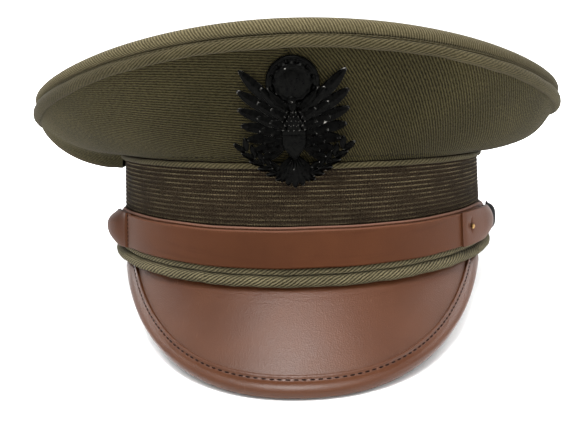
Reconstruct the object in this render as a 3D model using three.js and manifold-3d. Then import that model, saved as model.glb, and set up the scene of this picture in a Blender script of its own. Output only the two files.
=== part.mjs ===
import * as THREE from 'three';
import Module from 'manifold-3d';

const wasm = await Module();
wasm.setup();

// ---------------------------------------------------------------- sizes, mm
const AROUND = 60;              // steps round a full ring
const GAP = 0.3;                // clearance between neighbouring pieces
const DEG = Math.PI / 180;

const BAND_A = 85.6;            // half width of the band at its foot
const BAND_B = 105.6;           // half length of the band at its foot
const BAND_LEAN = 0.035;        // how much the band narrows per mm of height
const BAND_TOP = 44.8;
const BAND_WALL = 2.6;
const FRONT_SAG = 2.6;          // the band's foot dips this much at the front
const BAND_SKEW = 0.027;        // the soft band stands a little lower on one side

const CORD = { lift: 2.35, half: 2.2, wide: 1.75, out: 0.75, swell: 1.0 };
const FOLD = { lift: 5.95, half: 1.15, wide: 0.85, out: 1.25, swell: 0 };
const WELT = { lift: 43.9, half: 1.05, wide: 0.75, out: 1.1, swell: 0 };

const CROWN_A = 124.2;          // half width of the crown over its piping
const CROWN_B = 124;            // half length of the crown over its piping
const CROWN_X = -1.7;           // the soft crown leans a little to one side
const CROWN_Y = 3;              // and sits a little back on the band
const RIM = [70.9, 13.5, 6.9, 0.3];   // mean height of the rim and its three waves
const RIM_TWIST = 0.35;         // one front corner of the rim stands higher than the other
const PIPING = { half: 2.2, wide: 2.1, swell: 0.9 };   // fuller at the sides
const CLOTH = 1.3;
const ROLL_HIGH = 6.4;
const TOP_DISH = 1.2;

const STRAP = { foot: 7.4, high: 13.7, thick: 1.5, inner_high: 14.7, out: 0.4 };
// the folded ends over the strap: plan path of the leather's middle, degrees and mm off the band
const FOLD_THICK = 1.4;
const STRAP_FOLDS = {
  left: {
    foot: 7.3, high: 14.5,
    path: [
      { at: -56, out: 4.85 }, { at: -58.5, out: 5.6 }, { at: -62, out: 7.4 }, { at: -65.5, out: 8.2 },
      { at: -69, out: 7.5 }, { at: -71, out: 5.6 }, { at: -70.4, out: 3.4 },
    ],
  },
  right: {
    foot: 7.3, high: 14.3,
    path: [
      { at: 49.3, out: 4.85 }, { at: 54, out: 4.9 }, { at: 59, out: 5.4 }, { at: 63, out: 6.0 },
      { at: 66.4, out: 5.6 }, { at: 67.8, out: 4.4 }, { at: 67.2, out: 3.3 },
    ],
  },
};
const BUTTON = { at: 78, radius: 7.2, dome: 4.7, shank: 1.3, height: { left: 11.6, right: 12.9 } };

const VISOR_TILT = 40 * DEG;
const VISOR_LONG = 47.1;
const VISOR_END = 66 * DEG;
const VISOR_POWER = 2.6;
const VISOR_THICK = 2.0;
const BINDING = { wide: 8.3, skin: 0.8, bead: 1.7 };

const BADGE_LEAN = 14.5 * DEG;
const POST = { up: 0.27, radius: 1.2 };

const REST_TILT = 8.20 * DEG;    // the cap rests on its visor tip and rear edge

const COLOURS = {
  cloth: [0x4a4432, 0.95, 0], rim: [0x665f4c, 0.95, 0], braid: [0x39322a, 0.9, 0],
  strap: [0x664332, 0.5, 0], visor: [0x6f4e3e, 0.45, 0], metal: [0x262624, 0.45, 0.8],
  brass: [0xa08850, 0.35, 0.9],
};

// ---------------------------------------------------------------- helpers
const group = new THREE.Group();
group.name = 'visor_cap';

function add(name, geometry, look) {
  const [color, roughness, metalness] = COLOURS[look];
  const mesh = new THREE.Mesh(geometry, new THREE.MeshStandardMaterial({ color, roughness, metalness }));
  mesh.name = name;
  group.add(mesh);
  return mesh;
}

function mix(a, b, t) {
  return a + (b - a) * t;
}

function smooth(t) {
  const c = Math.min(1, Math.max(0, t));
  return c * c * (3 - 2 * c);
}

// phi is measured from the front, positive to the wearer's left as seen from the front
function oval(a, b, phi, z, x0 = 0, y0 = 0) {
  return [x0 + a * Math.sin(phi), y0 - b * Math.cos(phi), z];
}

function sag(phi, z) {
  const front = Math.max(Math.cos(phi), 0);
  return z - FRONT_SAG * front * front * (1 - z / 45);
}

function onBand(phi, z, out) {
  const s = out - BAND_LEAN * z;
  return oval(BAND_A + s, BAND_B + s, phi, sag(phi, z) - BAND_SKEW * z * Math.sin(phi));
}

function rimHeight(phi, rho = 1) {
  return RIM[0] + RIM[1] * rho * Math.cos(phi) + RIM[2] * rho * rho * Math.cos(2 * phi)
    + RIM[3] * rho ** 3 * Math.cos(3 * phi) + RIM_TWIST * rho * rho * Math.sin(2 * phi);
}

function pipingSwell(phi) {
  return PIPING.swell * (phi < 0 ? 1.6 : 1) * Math.sin(phi) ** 4;
}

function onCrown(phi, inset, z) {
  return oval(CROWN_A - inset, CROWN_B - inset, phi, z, CROWN_X, CROWN_Y);
}

function solidFrom(points, faces) {
  const geometry = new THREE.BufferGeometry();
  geometry.setAttribute('position', new THREE.Float32BufferAttribute(points.flat(), 3));
  geometry.setIndex(faces.flat());
  const p = points;
  let volume = 0;
  for (const [a, b, c] of faces) {
    volume += p[a][0] * (p[b][1] * p[c][2] - p[b][2] * p[c][1])
      + p[a][1] * (p[b][2] * p[c][0] - p[b][0] * p[c][2])
      + p[a][2] * (p[b][0] * p[c][1] - p[b][1] * p[c][0]);
  }
  if (volume < 0) {
    geometry.setIndex(faces.map(([a, b, c]) => [a, c, b]).flat());
  }
  geometry.computeVertexNormals();
  return geometry;
}

// sections: a list of closed polygons with one count of points; closed joins last to first
function sweep(sections, closed) {
  const m = sections[0].length;
  const n = sections.length;
  const points = sections.flat();
  const faces = [];
  const last = closed ? n : n - 1;
  for (let i = 0; i < last; i += 1) {
    const j = (i + 1) % n;
    for (let k = 0; k < m; k += 1) {
      const l = (k + 1) % m;
      faces.push([i * m + k, j * m + k, j * m + l]);
      faces.push([i * m + k, j * m + l, i * m + l]);
    }
  }
  if (!closed) {
    for (const [base, flip] of [[0, false], [(n - 1) * m, true]]) {
      for (const [a, b, c] of capFaces(m)) {
        faces.push(flip ? [base + a, base + c, base + b] : [base + a, base + b, base + c]);
      }
    }
  }
  return solidFrom(points, faces);
}

// a section is an outer run followed by an inner run back, so its cap is a strip
function capFaces(m) {
  const faces = [];
  let a = 0;
  let b = m - 1;
  while (b - a > 1) {
    faces.push([a, a + 1, b]);
    if (b - a > 2) {
      faces.push([a + 1, b - 1, b]);
    }
    a += 1;
    b -= 1;
  }
  return faces;
}

function ring(section) {
  const rows = [];
  for (let i = 0; i < AROUND; i += 1) {
    rows.push(section(-Math.PI + (2 * Math.PI * i) / AROUND));
  }
  return sweep(rows, true);
}

function arc(from, to, steps, section) {
  const rows = [];
  for (let i = 0; i <= steps; i += 1) {
    rows.push(section(mix(from, to, i / steps)));
  }
  return sweep(rows, false);
}

// a rounded section of a cord lying on the band
function cordOn(place, count) {
  return (phi) => {
    const out = [];
    for (let k = 0; k < count; k += 1) {
      const t = (2 * Math.PI * k) / count;
      const swell = place.swell * Math.sin(phi) ** 2;
      const lift = place.lift + place.half * Math.sin(t);
      out.push(onBand(phi, lift, place.out + swell + (place.wide + swell) * Math.cos(t)));
    }
    return out;
  };
}

function toManifold(geometry) {
  const position = geometry.getAttribute('position');
  return new wasm.Manifold(new wasm.Mesh({
    numProp: 3,
    vertProperties: Float32Array.from(position.array),
    triVerts: Uint32Array.from(geometry.index.array),
  }));
}

function fromManifold(solid) {
  const mesh = solid.getMesh();
  const geometry = new THREE.BufferGeometry();
  geometry.setAttribute('position', new THREE.BufferAttribute(Float32Array.from(mesh.vertProperties), 3));
  geometry.setIndex(Array.from(mesh.triVerts));
  geometry.computeVertexNormals();
  return geometry;
}

function drill(geometry, from, to, radius) {
  const a = new THREE.Vector3(...from);
  const b = new THREE.Vector3(...to);
  const tool = new THREE.CylinderGeometry(radius, radius, a.distanceTo(b), 16);
  tool.applyQuaternion(new THREE.Quaternion().setFromUnitVectors(
    new THREE.Vector3(0, 1, 0), b.clone().sub(a).normalize()));
  tool.translate(...a.clone().add(b).multiplyScalar(0.5).toArray());
  return fromManifold(toManifold(geometry).subtract(mergedManifold(tool)));
}

function mergedManifold(tool) {
  const merged = new Map();
  const points = [];
  const index = [];
  const position = tool.getAttribute('position');
  for (let i = 0; i < tool.index.count; i += 1) {
    const v = tool.index.getX(i);
    const key = [position.getX(v), position.getY(v), position.getZ(v)].map((c) => Math.round(c * 1e4) || 0).join();
    if (!merged.has(key)) {
      merged.set(key, points.length / 3);
      points.push(position.getX(v), position.getY(v), position.getZ(v));
    }
    index.push(merged.get(key));
  }
  const kept = [];
  for (let i = 0; i < index.length; i += 3) {
    const [a, b, c] = index.slice(i, i + 3);
    if (a !== b && b !== c && a !== c) {
      kept.push(a, b, c);
    }
  }
  return new wasm.Manifold(new wasm.Mesh({
    numProp: 3, vertProperties: Float32Array.from(points), triVerts: Uint32Array.from(kept),
  }));
}

// ---------------------------------------------------------------- band and its cords
// height and outward offset of the wall's section, up the outside and down the inside
const BAND_SECTION = [
  { z: 0.6, out: -1.35 }, { z: 4.6, out: -1.35 }, { z: 5.6, out: 0 }, { z: BAND_TOP, out: 0 },
  { z: BAND_TOP, out: -BAND_WALL }, { z: 7.2, out: -BAND_WALL }, { z: 0.6, out: -BAND_WALL - 0.4 },
];

function bandSection(phi) {
  return BAND_SECTION.map((row) => onBand(phi, row.z, row.out));
}

let bandBody = ring(bandSection);
add('welt_cord', ring(cordOn(CORD, 8)), 'rim');
add('welt_fold', ring(cordOn(FOLD, 6)), 'rim');
add('band_top_welt', ring(cordOn(WELT, 6)), 'rim');

// ---------------------------------------------------------------- crown
// each row: where round the rim, and the two handles of the quarter's profile from the band
// to the piping, as parts of its reach outwards and of its rise
const QUARTER_PROFILES = [
  { phi: -180, out1: 0.55, up1: 0.00, out2: 0.95, up2: 0.45 },
  { phi: -100, out1: 0.60, up1: 0.00, out2: 1.00, up2: 0.66 },
  { phi: -70, out1: 0.57, up1: 0.00, out2: 1.02, up2: 0.74 },
  { phi: -35, out1: 0.34, up1: 0.22, out2: 0.74, up2: 0.66 },
  { phi: 0, out1: 0.30, up1: 0.32, out2: 0.58, up2: 0.70 },
  { phi: 35, out1: 0.34, up1: 0.24, out2: 0.72, up2: 0.68 },
  { phi: 70, out1: 0.76, up1: 0.00, out2: 0.86, up2: 0.70 },
  { phi: 100, out1: 0.74, up1: 0.00, out2: 0.86, up2: 0.70 },
  { phi: 180, out1: 0.55, up1: 0.00, out2: 0.95, up2: 0.45 },
];

function profileAt(phi) {
  const angle = phi / DEG;
  const table = QUARTER_PROFILES;
  let i = 0;
  while (i < table.length - 2 && angle > table[i + 1].phi) {
    i += 1;
  }
  const t = smooth((angle - table[i].phi) / (table[i + 1].phi - table[i].phi));
  const row = {};
  for (const key of ['out1', 'up1', 'out2', 'up2']) {
    row[key] = mix(table[i][key], table[i + 1][key], t);
  }
  return row;
}

function bezier(a, b, c, d, t) {
  const s = 1 - t;
  return s * s * s * a + 3 * s * s * t * b + 3 * s * t * t * c + t * t * t * d;
}

// on one side the soft cloth hangs over the welt: it goes out past it, down, and in again
const SLUMP = { middle: -97 * DEG, half: 34 * DEG, out: 2.1, drop: 7.2 };

function slumpAt(phi) {
  const away = Math.abs(phi - SLUMP.middle) / SLUMP.half;
  return 3 * smooth(1.5 * (1 - away));
}

// height and inset on the quarter's outer face, t from the band (0) to the piping (1)
function quarterPoint(phi, t, inward = 0) {
  const slump = slumpAt(phi);
  const drop = SLUMP.drop * Math.min(1, Math.max(0, slump - 1));
  const past = Math.min(1, slump) - Math.max(0, slump - 2);
  const low = onBand(phi, BAND_TOP + 0.45 - drop, 0.4 + SLUMP.out * past - inward);
  const rise = rimHeight(phi) - 5.0 - 2 * pipingSwell(phi);
  const high = onCrown(phi, 2.9 + inward, rise);
  const p = profileAt(phi);
  const reachX = high[0] - low[0];
  const reachY = high[1] - low[1];
  const up = high[2] - low[2];
  const out = bezier(0, p.out1, p.out2, 1, t);
  const lift = bezier(0, p.up1, p.up2, 1, t);
  return [low[0] + reachX * out, low[1] + reachY * out, low[2] + up * lift];
}

// the inner face lies one cloth thickness behind the outer one, along its normal
function quarterInner(phi, t) {
  const step = 0.01;
  const p = new THREE.Vector3(...quarterPoint(phi, t));
  const u = new THREE.Vector3(...quarterPoint(phi + step, t)).sub(new THREE.Vector3(...quarterPoint(phi - step, t)));
  const v = new THREE.Vector3(...quarterPoint(phi, Math.min(1, t + step)))
    .sub(new THREE.Vector3(...quarterPoint(phi, Math.max(0, t - step))));
  const normal = u.cross(v).normalize();
  const outward = Math.sin(phi) * normal.x - Math.cos(phi) * normal.y - 0.3 * normal.z;
  p.addScaledVector(normal, outward > 0 ? -CLOTH : CLOTH);
  return p.toArray();
}

const QUARTER_ROWS = 6;
function quarterSection(phi) {
  const outer = [];
  const inner = [];
  for (let k = 0; k <= QUARTER_ROWS; k += 1) {
    const t = k / QUARTER_ROWS;
    outer.push(quarterPoint(phi, t));
    inner.push(quarterInner(phi, t));
  }
  return [...outer, ...inner.reverse()];
}

const SEAM_SLIT = 0.09 * DEG;
const SIDE_SEAM = 118 * DEG;
const QUARTERS = [
  { name: 'quarter_front_left', from: -SIDE_SEAM, to: 0, steps: 18 },
  { name: 'quarter_front_right', from: 0, to: SIDE_SEAM, steps: 18 },
  { name: 'quarter_back_right', from: SIDE_SEAM, to: Math.PI, steps: 13 },
  { name: 'quarter_back_left', from: -Math.PI, to: -SIDE_SEAM, steps: 13 },
];

// where the badge post passes: a point of the front seam and the way it points
const postPoint = quarterPoint(0, POST.up);
const postWay = [0, -Math.cos(BADGE_LEAN), -Math.sin(BADGE_LEAN)];

function along(point, way, distance) {
  return point.map((c, i) => c + way[i] * distance);
}

for (const quarter of QUARTERS) {
  let body = arc(quarter.from + SEAM_SLIT, quarter.to - SEAM_SLIT, quarter.steps, quarterSection);
  if (quarter.name.startsWith('quarter_front')) {
    body = drill(body, along(postPoint, postWay, 6), along(postPoint, postWay, -6), POST.radius + GAP);
  }
  add(quarter.name, body, 'cloth');
}

add('crown_piping', ring((phi) => {
  const out = [];
  const swell = pipingSwell(phi);
  for (let k = 0; k < 8; k += 1) {
    const t = (2 * Math.PI * k) / 8;
    out.push(onCrown(phi, PIPING.wide - (PIPING.wide + 0.5 * swell) * Math.cos(t),
      rimHeight(phi) - 2.35 - swell + (PIPING.half + swell) * Math.sin(t)));
  }
  return out;
}), 'rim');

// the top panel: its edge rolls over and tucks in under itself; inset from the crown's widest line
// and height over the groove, outer face first
const ROLL_OUTER = [
  { inset: 6.6, up: -1.0 }, { inset: 3.6, up: 0.1 }, { inset: 1.4, up: 1.2 }, { inset: 0.8, up: 3.0 },
  { inset: 1.6, up: 4.9 }, { inset: 3.6, up: 6.0 }, { inset: 6.6, up: 6.4 },
];
const ROLL_INNER = [
  { inset: 6.9, up: 0.3 }, { inset: 3.4, up: 1.6 }, { inset: 2.2, up: 3.1 }, { inset: 3.2, up: 4.3 },
  { inset: 6.9, up: 5.0 },
];
const TOP_RINGS = [0.9, 0.6, 0.3];

// the roll is a little lower at the sides
function rollHeight(phi, rho = 1) {
  return 1 - 0.14 * rho * Math.sin(phi) ** 2;
}

function topHeight(phi, rho, drop) {
  const dish = TOP_DISH * (1 - rho * rho);
  return rimHeight(phi, rho) + ROLL_HIGH * rollHeight(phi, rho) - 0.3 - dish - drop;
}

function topPanel() {
  const rows = [];
  for (const p of ROLL_INNER) {
    rows.push((phi) => onCrown(phi, p.inset, rimHeight(phi) + p.up * rollHeight(phi)));
  }
  rows.reverse();
  const inner = TOP_RINGS.map((rho) => (phi) => {
    const q = oval((CROWN_A - 6.6) * rho, (CROWN_B - 6.6) * rho, phi, 0, CROWN_X, CROWN_Y);
    return [q[0], q[1], topHeight(phi, rho, CLOTH)];
  });
  const outer = TOP_RINGS.map((rho) => (phi) => {
    const q = oval((CROWN_A - 6.6) * rho, (CROWN_B - 6.6) * rho, phi, 0, CROWN_X, CROWN_Y);
    return [q[0], q[1], topHeight(phi, rho, 0)];
  });
  const roll = ROLL_OUTER.map((p) => (phi) => onCrown(phi, p.inset, rimHeight(phi) + p.up * rollHeight(phi)));
  // from the middle of the under side out, round the roll, and back over the top to the middle
  const chain = [...inner.reverse(), ...rows, ...roll, ...outer];
  const points = [];
  for (const row of chain) {
    for (let i = 0; i < AROUND; i += 1) {
      points.push(row((2 * Math.PI * i) / AROUND));
    }
  }
  const under = points.length;
  points.push([CROWN_X, CROWN_Y, topHeight(0, 0, CLOTH)]);
  const over = points.length;
  points.push([CROWN_X, CROWN_Y, topHeight(0, 0, 0)]);
  const faces = [];
  for (let r = 0; r < chain.length - 1; r += 1) {
    for (let i = 0; i < AROUND; i += 1) {
      const j = (i + 1) % AROUND;
      faces.push([r * AROUND + i, r * AROUND + j, (r + 1) * AROUND + j]);
      faces.push([r * AROUND + i, (r + 1) * AROUND + j, (r + 1) * AROUND + i]);
    }
  }
  const lastRow = (chain.length - 1) * AROUND;
  for (let i = 0; i < AROUND; i += 1) {
    const j = (i + 1) % AROUND;
    faces.push([under, j, i]);
    faces.push([over, lastRow + i, lastRow + j]);
  }
  return solidFrom(points, faces);
}
add('crown_top', topPanel(), 'rim');

// ---------------------------------------------------------------- chin strap
function strapSection(out, high, thick) {
  return (phi) => [
    onBand(phi, STRAP.foot, out + thick - 0.2), onBand(phi, STRAP.foot + 0.4, out + thick),
    onBand(phi, STRAP.foot + high - 0.4, out + thick), onBand(phi, STRAP.foot + high, out + thick - 0.2),
    onBand(phi, STRAP.foot + high, out), onBand(phi, STRAP.foot + high - 0.4, out),
    onBand(phi, STRAP.foot + 0.4, out), onBand(phi, STRAP.foot, out),
  ];
}

const STRAP_END = 87 * DEG;
const OUTER_LAYER = STRAP.out + STRAP.thick + GAP;
let strapInner = arc(-STRAP_END, STRAP_END, 34, strapSection(STRAP.out, STRAP.inner_high, STRAP.thick));
add('strap_outer', arc(-68 * DEG, 65 * DEG, 30, strapSection(OUTER_LAYER, STRAP.high, STRAP.thick)), 'strap');

// a strip of leather on edge: it follows its path in plan and stands up the band's height
function foldBody(fold) {
  const place = (row, out, z) => onBand(row.at * DEG, z, out);
  const rows = fold.path.map((row, i) => {
    const before = place(fold.path[Math.max(0, i - 1)], fold.path[Math.max(0, i - 1)].out, 14);
    const next = fold.path[Math.min(fold.path.length - 1, i + 1)];
    const after = place(next, next.out, 14);
    const dx = after[0] - before[0];
    const dy = after[1] - before[1];
    const length = Math.hypot(dx, dy);
    const side = [-dy / length * FOLD_THICK / 2, dx / length * FOLD_THICK / 2];
    const corner = (z, way) => {
      const p = place(row, row.out, z);
      return [p[0] + way * side[0], p[1] + way * side[1], p[2]];
    };
    const foot = fold.foot;
    const top = fold.foot + fold.high;
    return [corner(foot + 0.4, 1), corner(top - 0.4, 1), corner(top, 0.6), corner(top, -0.6),
      corner(top - 0.4, -1), corner(foot + 0.4, -1), corner(foot, -0.6), corner(foot, 0.6)];
  });
  return sweep(rows, false);
}
add('keeper_left', foldBody(STRAP_FOLDS.left), 'strap');
add('keeper_right', foldBody(STRAP_FOLDS.right), 'strap');

// ---------------------------------------------------------------- buttons and stud
function bandNormal(phi) {
  const x = Math.sin(phi) / BAND_A;
  const y = -Math.cos(phi) / BAND_B;
  const length = Math.hypot(x, y);
  return [x / length, y / length, 0];
}

function latheAt(profile, segments, point, way) {
  const lathe = new THREE.LatheGeometry(profile.map(([r, h]) => new THREE.Vector2(r, h)), segments);
  const solid = fromManifold(mergedManifold(lathe));
  solid.applyQuaternion(new THREE.Quaternion().setFromUnitVectors(
    new THREE.Vector3(0, 1, 0), new THREE.Vector3(...way)));
  solid.translate(...point);
  return solid;
}

for (const [side, sign] of [['left', -1], ['right', 1]]) {
  const phi = sign * BUTTON.at * DEG;
  const foot = onBand(phi, BUTTON.height[side], 0);
  const way = bandNormal(phi);
  const lift = STRAP.out + STRAP.thick + 0.75;
  const r = BUTTON.radius;
  const profile = [
    [0, -BAND_WALL - 0.8], [BUTTON.shank, -BAND_WALL - 0.8], [BUTTON.shank, lift],
    [r - 0.8, lift], [r, lift + 0.5], [r - 0.1, lift + 1.1],
    [r * 0.86, lift + BUTTON.dome * 0.58], [r * 0.6, lift + BUTTON.dome * 0.85],
    [r * 0.3, lift + BUTTON.dome * 0.97], [0, lift + BUTTON.dome],
  ];
  add('button_' + side, latheAt(profile, 18, foot, way), 'metal');
  const start = along(foot, way, -8);
  const end = along(foot, way, 12);
  bandBody = drill(bandBody, start, end, BUTTON.shank + GAP);
  strapInner = drill(strapInner, start, end, BUTTON.shank + GAP);
}
add('band', bandBody, 'braid');
add('strap_inner', strapInner, 'strap');

const studPhi = 53 * DEG;
const studWay = bandNormal(studPhi);
const studLift = 4.9 + FOLD_THICK / 2 + GAP;
add('keeper_stud', latheAt([[0, 0], [1.3, 0], [1.5, 0.35], [1.0, 0.8], [0, 0.95]], 12,
  onBand(studPhi, STRAP.foot + STRAP.high / 2 + 0.8, studLift), studWay), 'brass');

// ---------------------------------------------------------------- visor
const VISOR_WAY = [0, -Math.cos(VISOR_TILT), -Math.sin(VISOR_TILT)];
const VISOR_UP = [0, -Math.sin(VISOR_TILT), Math.cos(VISOR_TILT)];

function visorReach(phi) {
  return VISOR_LONG * (1 - (Math.abs(phi) / VISOR_END) ** VISOR_POWER);
}

// a point on the visor's upper face, s along its length; deep goes down through the board
function visorPoint(phi, s, deep) {
  const root = onBand(phi, -0.55, 0.3);
  const normal = visorNormal(phi);
  return root.map((c, i) => c + VISOR_WAY[i] * s - normal[i] * deep);
}

function visorNormal(phi) {
  const tangent = new THREE.Vector3(BAND_A * Math.cos(phi), BAND_B * Math.sin(phi), 0);
  const normal = tangent.cross(new THREE.Vector3(...VISOR_WAY)).normalize();
  if (normal.z < 0 || (normal.z < 0.01 && normal.x * phi < 0)) {
    normal.negate();
  }
  return normal.toArray();
}

const VISOR_COLUMNS = 30;
const VISOR_ROWS = 3;
const VISOR_SPAN = VISOR_END * 0.985;
const edgeInset = BINDING.bead + 0.6;

function visorSection(phi) {
  const reach = Math.max(visorReach(phi) - edgeInset, 0.6);
  const top = [];
  const bottom = [];
  for (let k = 0; k <= VISOR_ROWS; k += 1) {
    const s = (reach * k) / VISOR_ROWS;
    top.push(visorPoint(phi, s, 0));
    bottom.push(visorPoint(phi, s, VISOR_THICK));
  }
  return [...top, ...bottom.reverse()];
}
add('visor', arc(-VISOR_SPAN * 0.97, VISOR_SPAN * 0.97, VISOR_COLUMNS, visorSection), 'visor');

// the binding wraps the visor's edge: a skin above, a bead at the edge, a skin below
function bindingSection(phi) {
  const reach = Math.max(visorReach(phi), 0.6 + edgeInset);
  const start = Math.max(reach - BINDING.wide, 0.2);
  const up = GAP + BINDING.skin;
  const down = VISOR_THICK + GAP + BINDING.skin;
  const bead = BINDING.bead;
  const mouth = reach - bead - 0.1;
  return [
    visorPoint(phi, start, -up + 0.3), visorPoint(phi, Math.min(start + 0.6, reach - bead), -up),
    visorPoint(phi, reach - bead * 0.9, -up - 0.35), visorPoint(phi, reach - bead * 0.25, -up + 0.3),
    visorPoint(phi, reach, VISOR_THICK / 2), visorPoint(phi, reach - bead * 0.25, down - 0.3),
    visorPoint(phi, reach - bead * 0.9, down + 0.35), visorPoint(phi, start, down),
    visorPoint(phi, start, VISOR_THICK + GAP), visorPoint(phi, mouth, VISOR_THICK + GAP),
    visorPoint(phi, mouth, -GAP), visorPoint(phi, start, -GAP),
  ];
}

function bindingBody() {
  const rows = [];
  for (let i = 0; i <= VISOR_COLUMNS; i += 1) {
    rows.push(bindingSection(mix(-VISOR_SPAN * 0.97, VISOR_SPAN * 0.97, i / VISOR_COLUMNS)));
  }
  const m = 12;
  const points = rows.flat();
  const faces = [];
  for (let i = 0; i < rows.length - 1; i += 1) {
    for (let k = 0; k < m; k += 1) {
      const l = (k + 1) % m;
      faces.push([i * m + k, (i + 1) * m + k, (i + 1) * m + l], [i * m + k, (i + 1) * m + l, i * m + l]);
    }
  }
  // the U-shaped ends, as quads between its outer run and its inner run
  const quads = [[0, 1, 10, 11], [1, 2, 10, 10], [2, 3, 10, 10], [3, 4, 10, 10], [4, 9, 10, 10],
    [4, 5, 9, 9], [5, 6, 9, 9], [6, 7, 8, 9]];
  for (const [base, flip] of [[0, false], [(rows.length - 1) * m, true]]) {
    for (const [a, b, c, d] of quads) {
      const tris = d === c ? [[a, b, c]] : [[a, b, c], [a, c, d]];
      for (const [p, q, r] of tris) {
        faces.push(flip ? [base + p, base + r, base + q] : [base + p, base + q, base + r]);
      }
    }
  }
  return solidFrom(points, faces);
}
add('visor_binding', bindingBody(), 'visor');

// ---------------------------------------------------------------- badge
// drawn flat, x across and y up from the post, then stood against the front seam
function flat(points) {
  const shape = new THREE.Shape();
  points.forEach(([x, y], i) => (i === 0 ? shape.moveTo(x, y) : shape.lineTo(x, y)));
  shape.closePath();
  return shape;
}

function plate(points, from, depth) {
  const geometry = new THREE.ExtrudeGeometry(flat(points), { depth, bevelEnabled: false, steps: 1 });
  geometry.translate(0, 0, from);
  return mergedManifold(geometry.index ? geometry : indexed(geometry));
}

function indexed(geometry) {
  const count = geometry.getAttribute('position').count;
  geometry.setIndex(Array.from({ length: count }, (_, i) => i));
  return geometry;
}

function disc(x, y, radius, from, depth, count = 24) {
  const points = [];
  for (let i = 0; i < count; i += 1) {
    const t = (2 * Math.PI * i) / count;
    points.push([x + radius * Math.cos(t), y + radius * Math.sin(t)]);
  }
  return plate(points, from, depth);
}

function leafShape(x, y, angle, long, wide) {
  const points = [];
  const half = [[0, 0.12], [0.3, 0.5], [0.6, 0.42], [1, 0]];
  for (const [u, v] of half) {
    points.push([u * long, v * wide]);
  }
  for (const [u, v] of half.slice(0, 3).reverse()) {
    points.push([u * long, -v * wide]);
  }
  const c = Math.cos(angle);
  const s = Math.sin(angle);
  return points.map(([u, v]) => [x + u * c - v * s, y + u * s + v * c]);
}

function badgeSolid() {
  const parts = [];
  const base = 0.6;
  // round boss above
  parts.push(disc(0, 19.7, 9.3, base, 1.4, 20));
  parts.push(disc(0, 19.7, 6.6, base, 2.4, 14));
  // body, head and shield
  parts.push(plate([[-2.4, 11.8], [-0.4, 14.2], [1.6, 13.6], [3.4, 11.4], [2.2, 9.8], [4.2, 5], [4.4, -4],
    [0, -10], [-4.4, -4], [-4.2, 5], [-1.8, 9.6]], base, 2.2));
  parts.push(plate([[-4.6, 2.6], [4.6, 2.6], [4.4, -4.6], [0, -9.6], [-4.4, -4.6]], base + 1.6, 1.2));
  // wings: five feathers a side, spread up and out
  const FEATHERS = [
    { x: 3, y: 5.6, angle: 29, long: 25.5, wide: 5.8 }, { x: 3, y: 3.8, angle: 17, long: 23.5, wide: 5.6 },
    { x: 3, y: 1.8, angle: 5, long: 20.5, wide: 5.4 }, { x: 3, y: -0.2, angle: -8, long: 17, wide: 5.0 },
    { x: 3, y: -2.2, angle: -22, long: 13.4, wide: 4.8 },
  ];
  for (const side of [1, -1]) {
    for (const f of FEATHERS) {
      const a = side === 1 ? f.angle * DEG : Math.PI - f.angle * DEG;
      parts.push(plate(leafShape(side * f.x * 0.4, f.y, a, f.long, f.wide), base, 1.5));
    }
    // laurel sprays below
    for (let k = 0; k < 4; k += 1) {
      const t = k / 3;
      const x = side * mix(4, 19.5, t);
      const y = mix(-14.4, -5.2, t * t * 0.55 + t * 0.45);
      const a = (side === 1 ? mix(8, 62, t) : 180 - mix(8, 62, t)) * DEG;
      parts.push(plate(leafShape(x - side * 2, y - 1, a + side * 0.5, 6.4, 3.0), base, 1.2));
      parts.push(plate(leafShape(x - side * 2, y - 1, a - side * 0.6, 6.0, 3.0), base, 1.2));
    }
    const stem = [];
    for (let k = 0; k <= 5; k += 1) {
      const t = k / 5;
      stem.push([side * mix(0, 20, t), mix(-15.6, -5.6, t * t * 0.55 + t * 0.45)]);
    }
    parts.push(plate([...stem.map(([x, y]) => [x, y + 0.7]), ...stem.reverse().map(([x, y]) => [x, y - 0.7])],
      base, 1.0));
  }
  // fan tail
  for (let k = -2; k <= 2; k += 1) {
    parts.push(plate(leafShape(0, -7, (-90 + k * 15) * DEG, 14.5 - Math.abs(k) * 1.2, 3.8), base, 1.4));
  }
  let solid = parts[0];
  for (const part of parts.slice(1)) {
    solid = solid.add(part);
  }
  const post = new THREE.CylinderGeometry(POST.radius, POST.radius, 6.2, 16);
  post.rotateX(Math.PI / 2);
  post.translate(0, 0, -2.2);
  return solid.add(mergedManifold(post));
}

// stand the drawing up: its x stays across, its y climbs the seam, its z points forwards
function stand(geometry, lift) {
  const forward = new THREE.Vector3(...postWay);
  const across = new THREE.Vector3(1, 0, 0);
  const up = forward.clone().cross(across).normalize();
  const frame = new THREE.Matrix4().makeBasis(across, up, forward);
  geometry.applyMatrix4(frame);
  geometry.translate(...along(postPoint, postWay, lift));
  return geometry;
}
const badgeLift = 2.0;
add('badge', stand(fromManifold(badgeSolid()), badgeLift), 'metal');

function nutSolid() {
  const blank = new THREE.CylinderGeometry(3.6, 3.6, 1.8, 6);
  const bore = new THREE.CylinderGeometry(POST.radius + GAP, POST.radius + GAP, 4, 12);
  const depth = -CLOTH - 0.6 - 0.9 - badgeLift;
  for (const geometry of [blank, bore]) {
    geometry.rotateX(Math.PI / 2);
    geometry.translate(0, 0, depth);
  }
  return mergedManifold(blank).subtract(mergedManifold(bore));
}
add('badge_nut', stand(fromManifold(nutSolid()), badgeLift), 'metal');

// ---------------------------------------------------------------- set down as it rests
const turn = new THREE.Matrix4().makeRotationX(-REST_TILT);
for (const mesh of group.children) {
  mesh.geometry.applyMatrix4(turn);
}
const box = new THREE.Box3().setFromObject(group);
const middle = box.getCenter(new THREE.Vector3());
for (const mesh of group.children) {
  mesh.geometry.translate(-middle.x, -middle.y, -box.min.z);
  mesh.geometry.computeVertexNormals();
}

export default group;
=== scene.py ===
import math

import bpy
from mathutils import Matrix, Vector, noise

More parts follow.
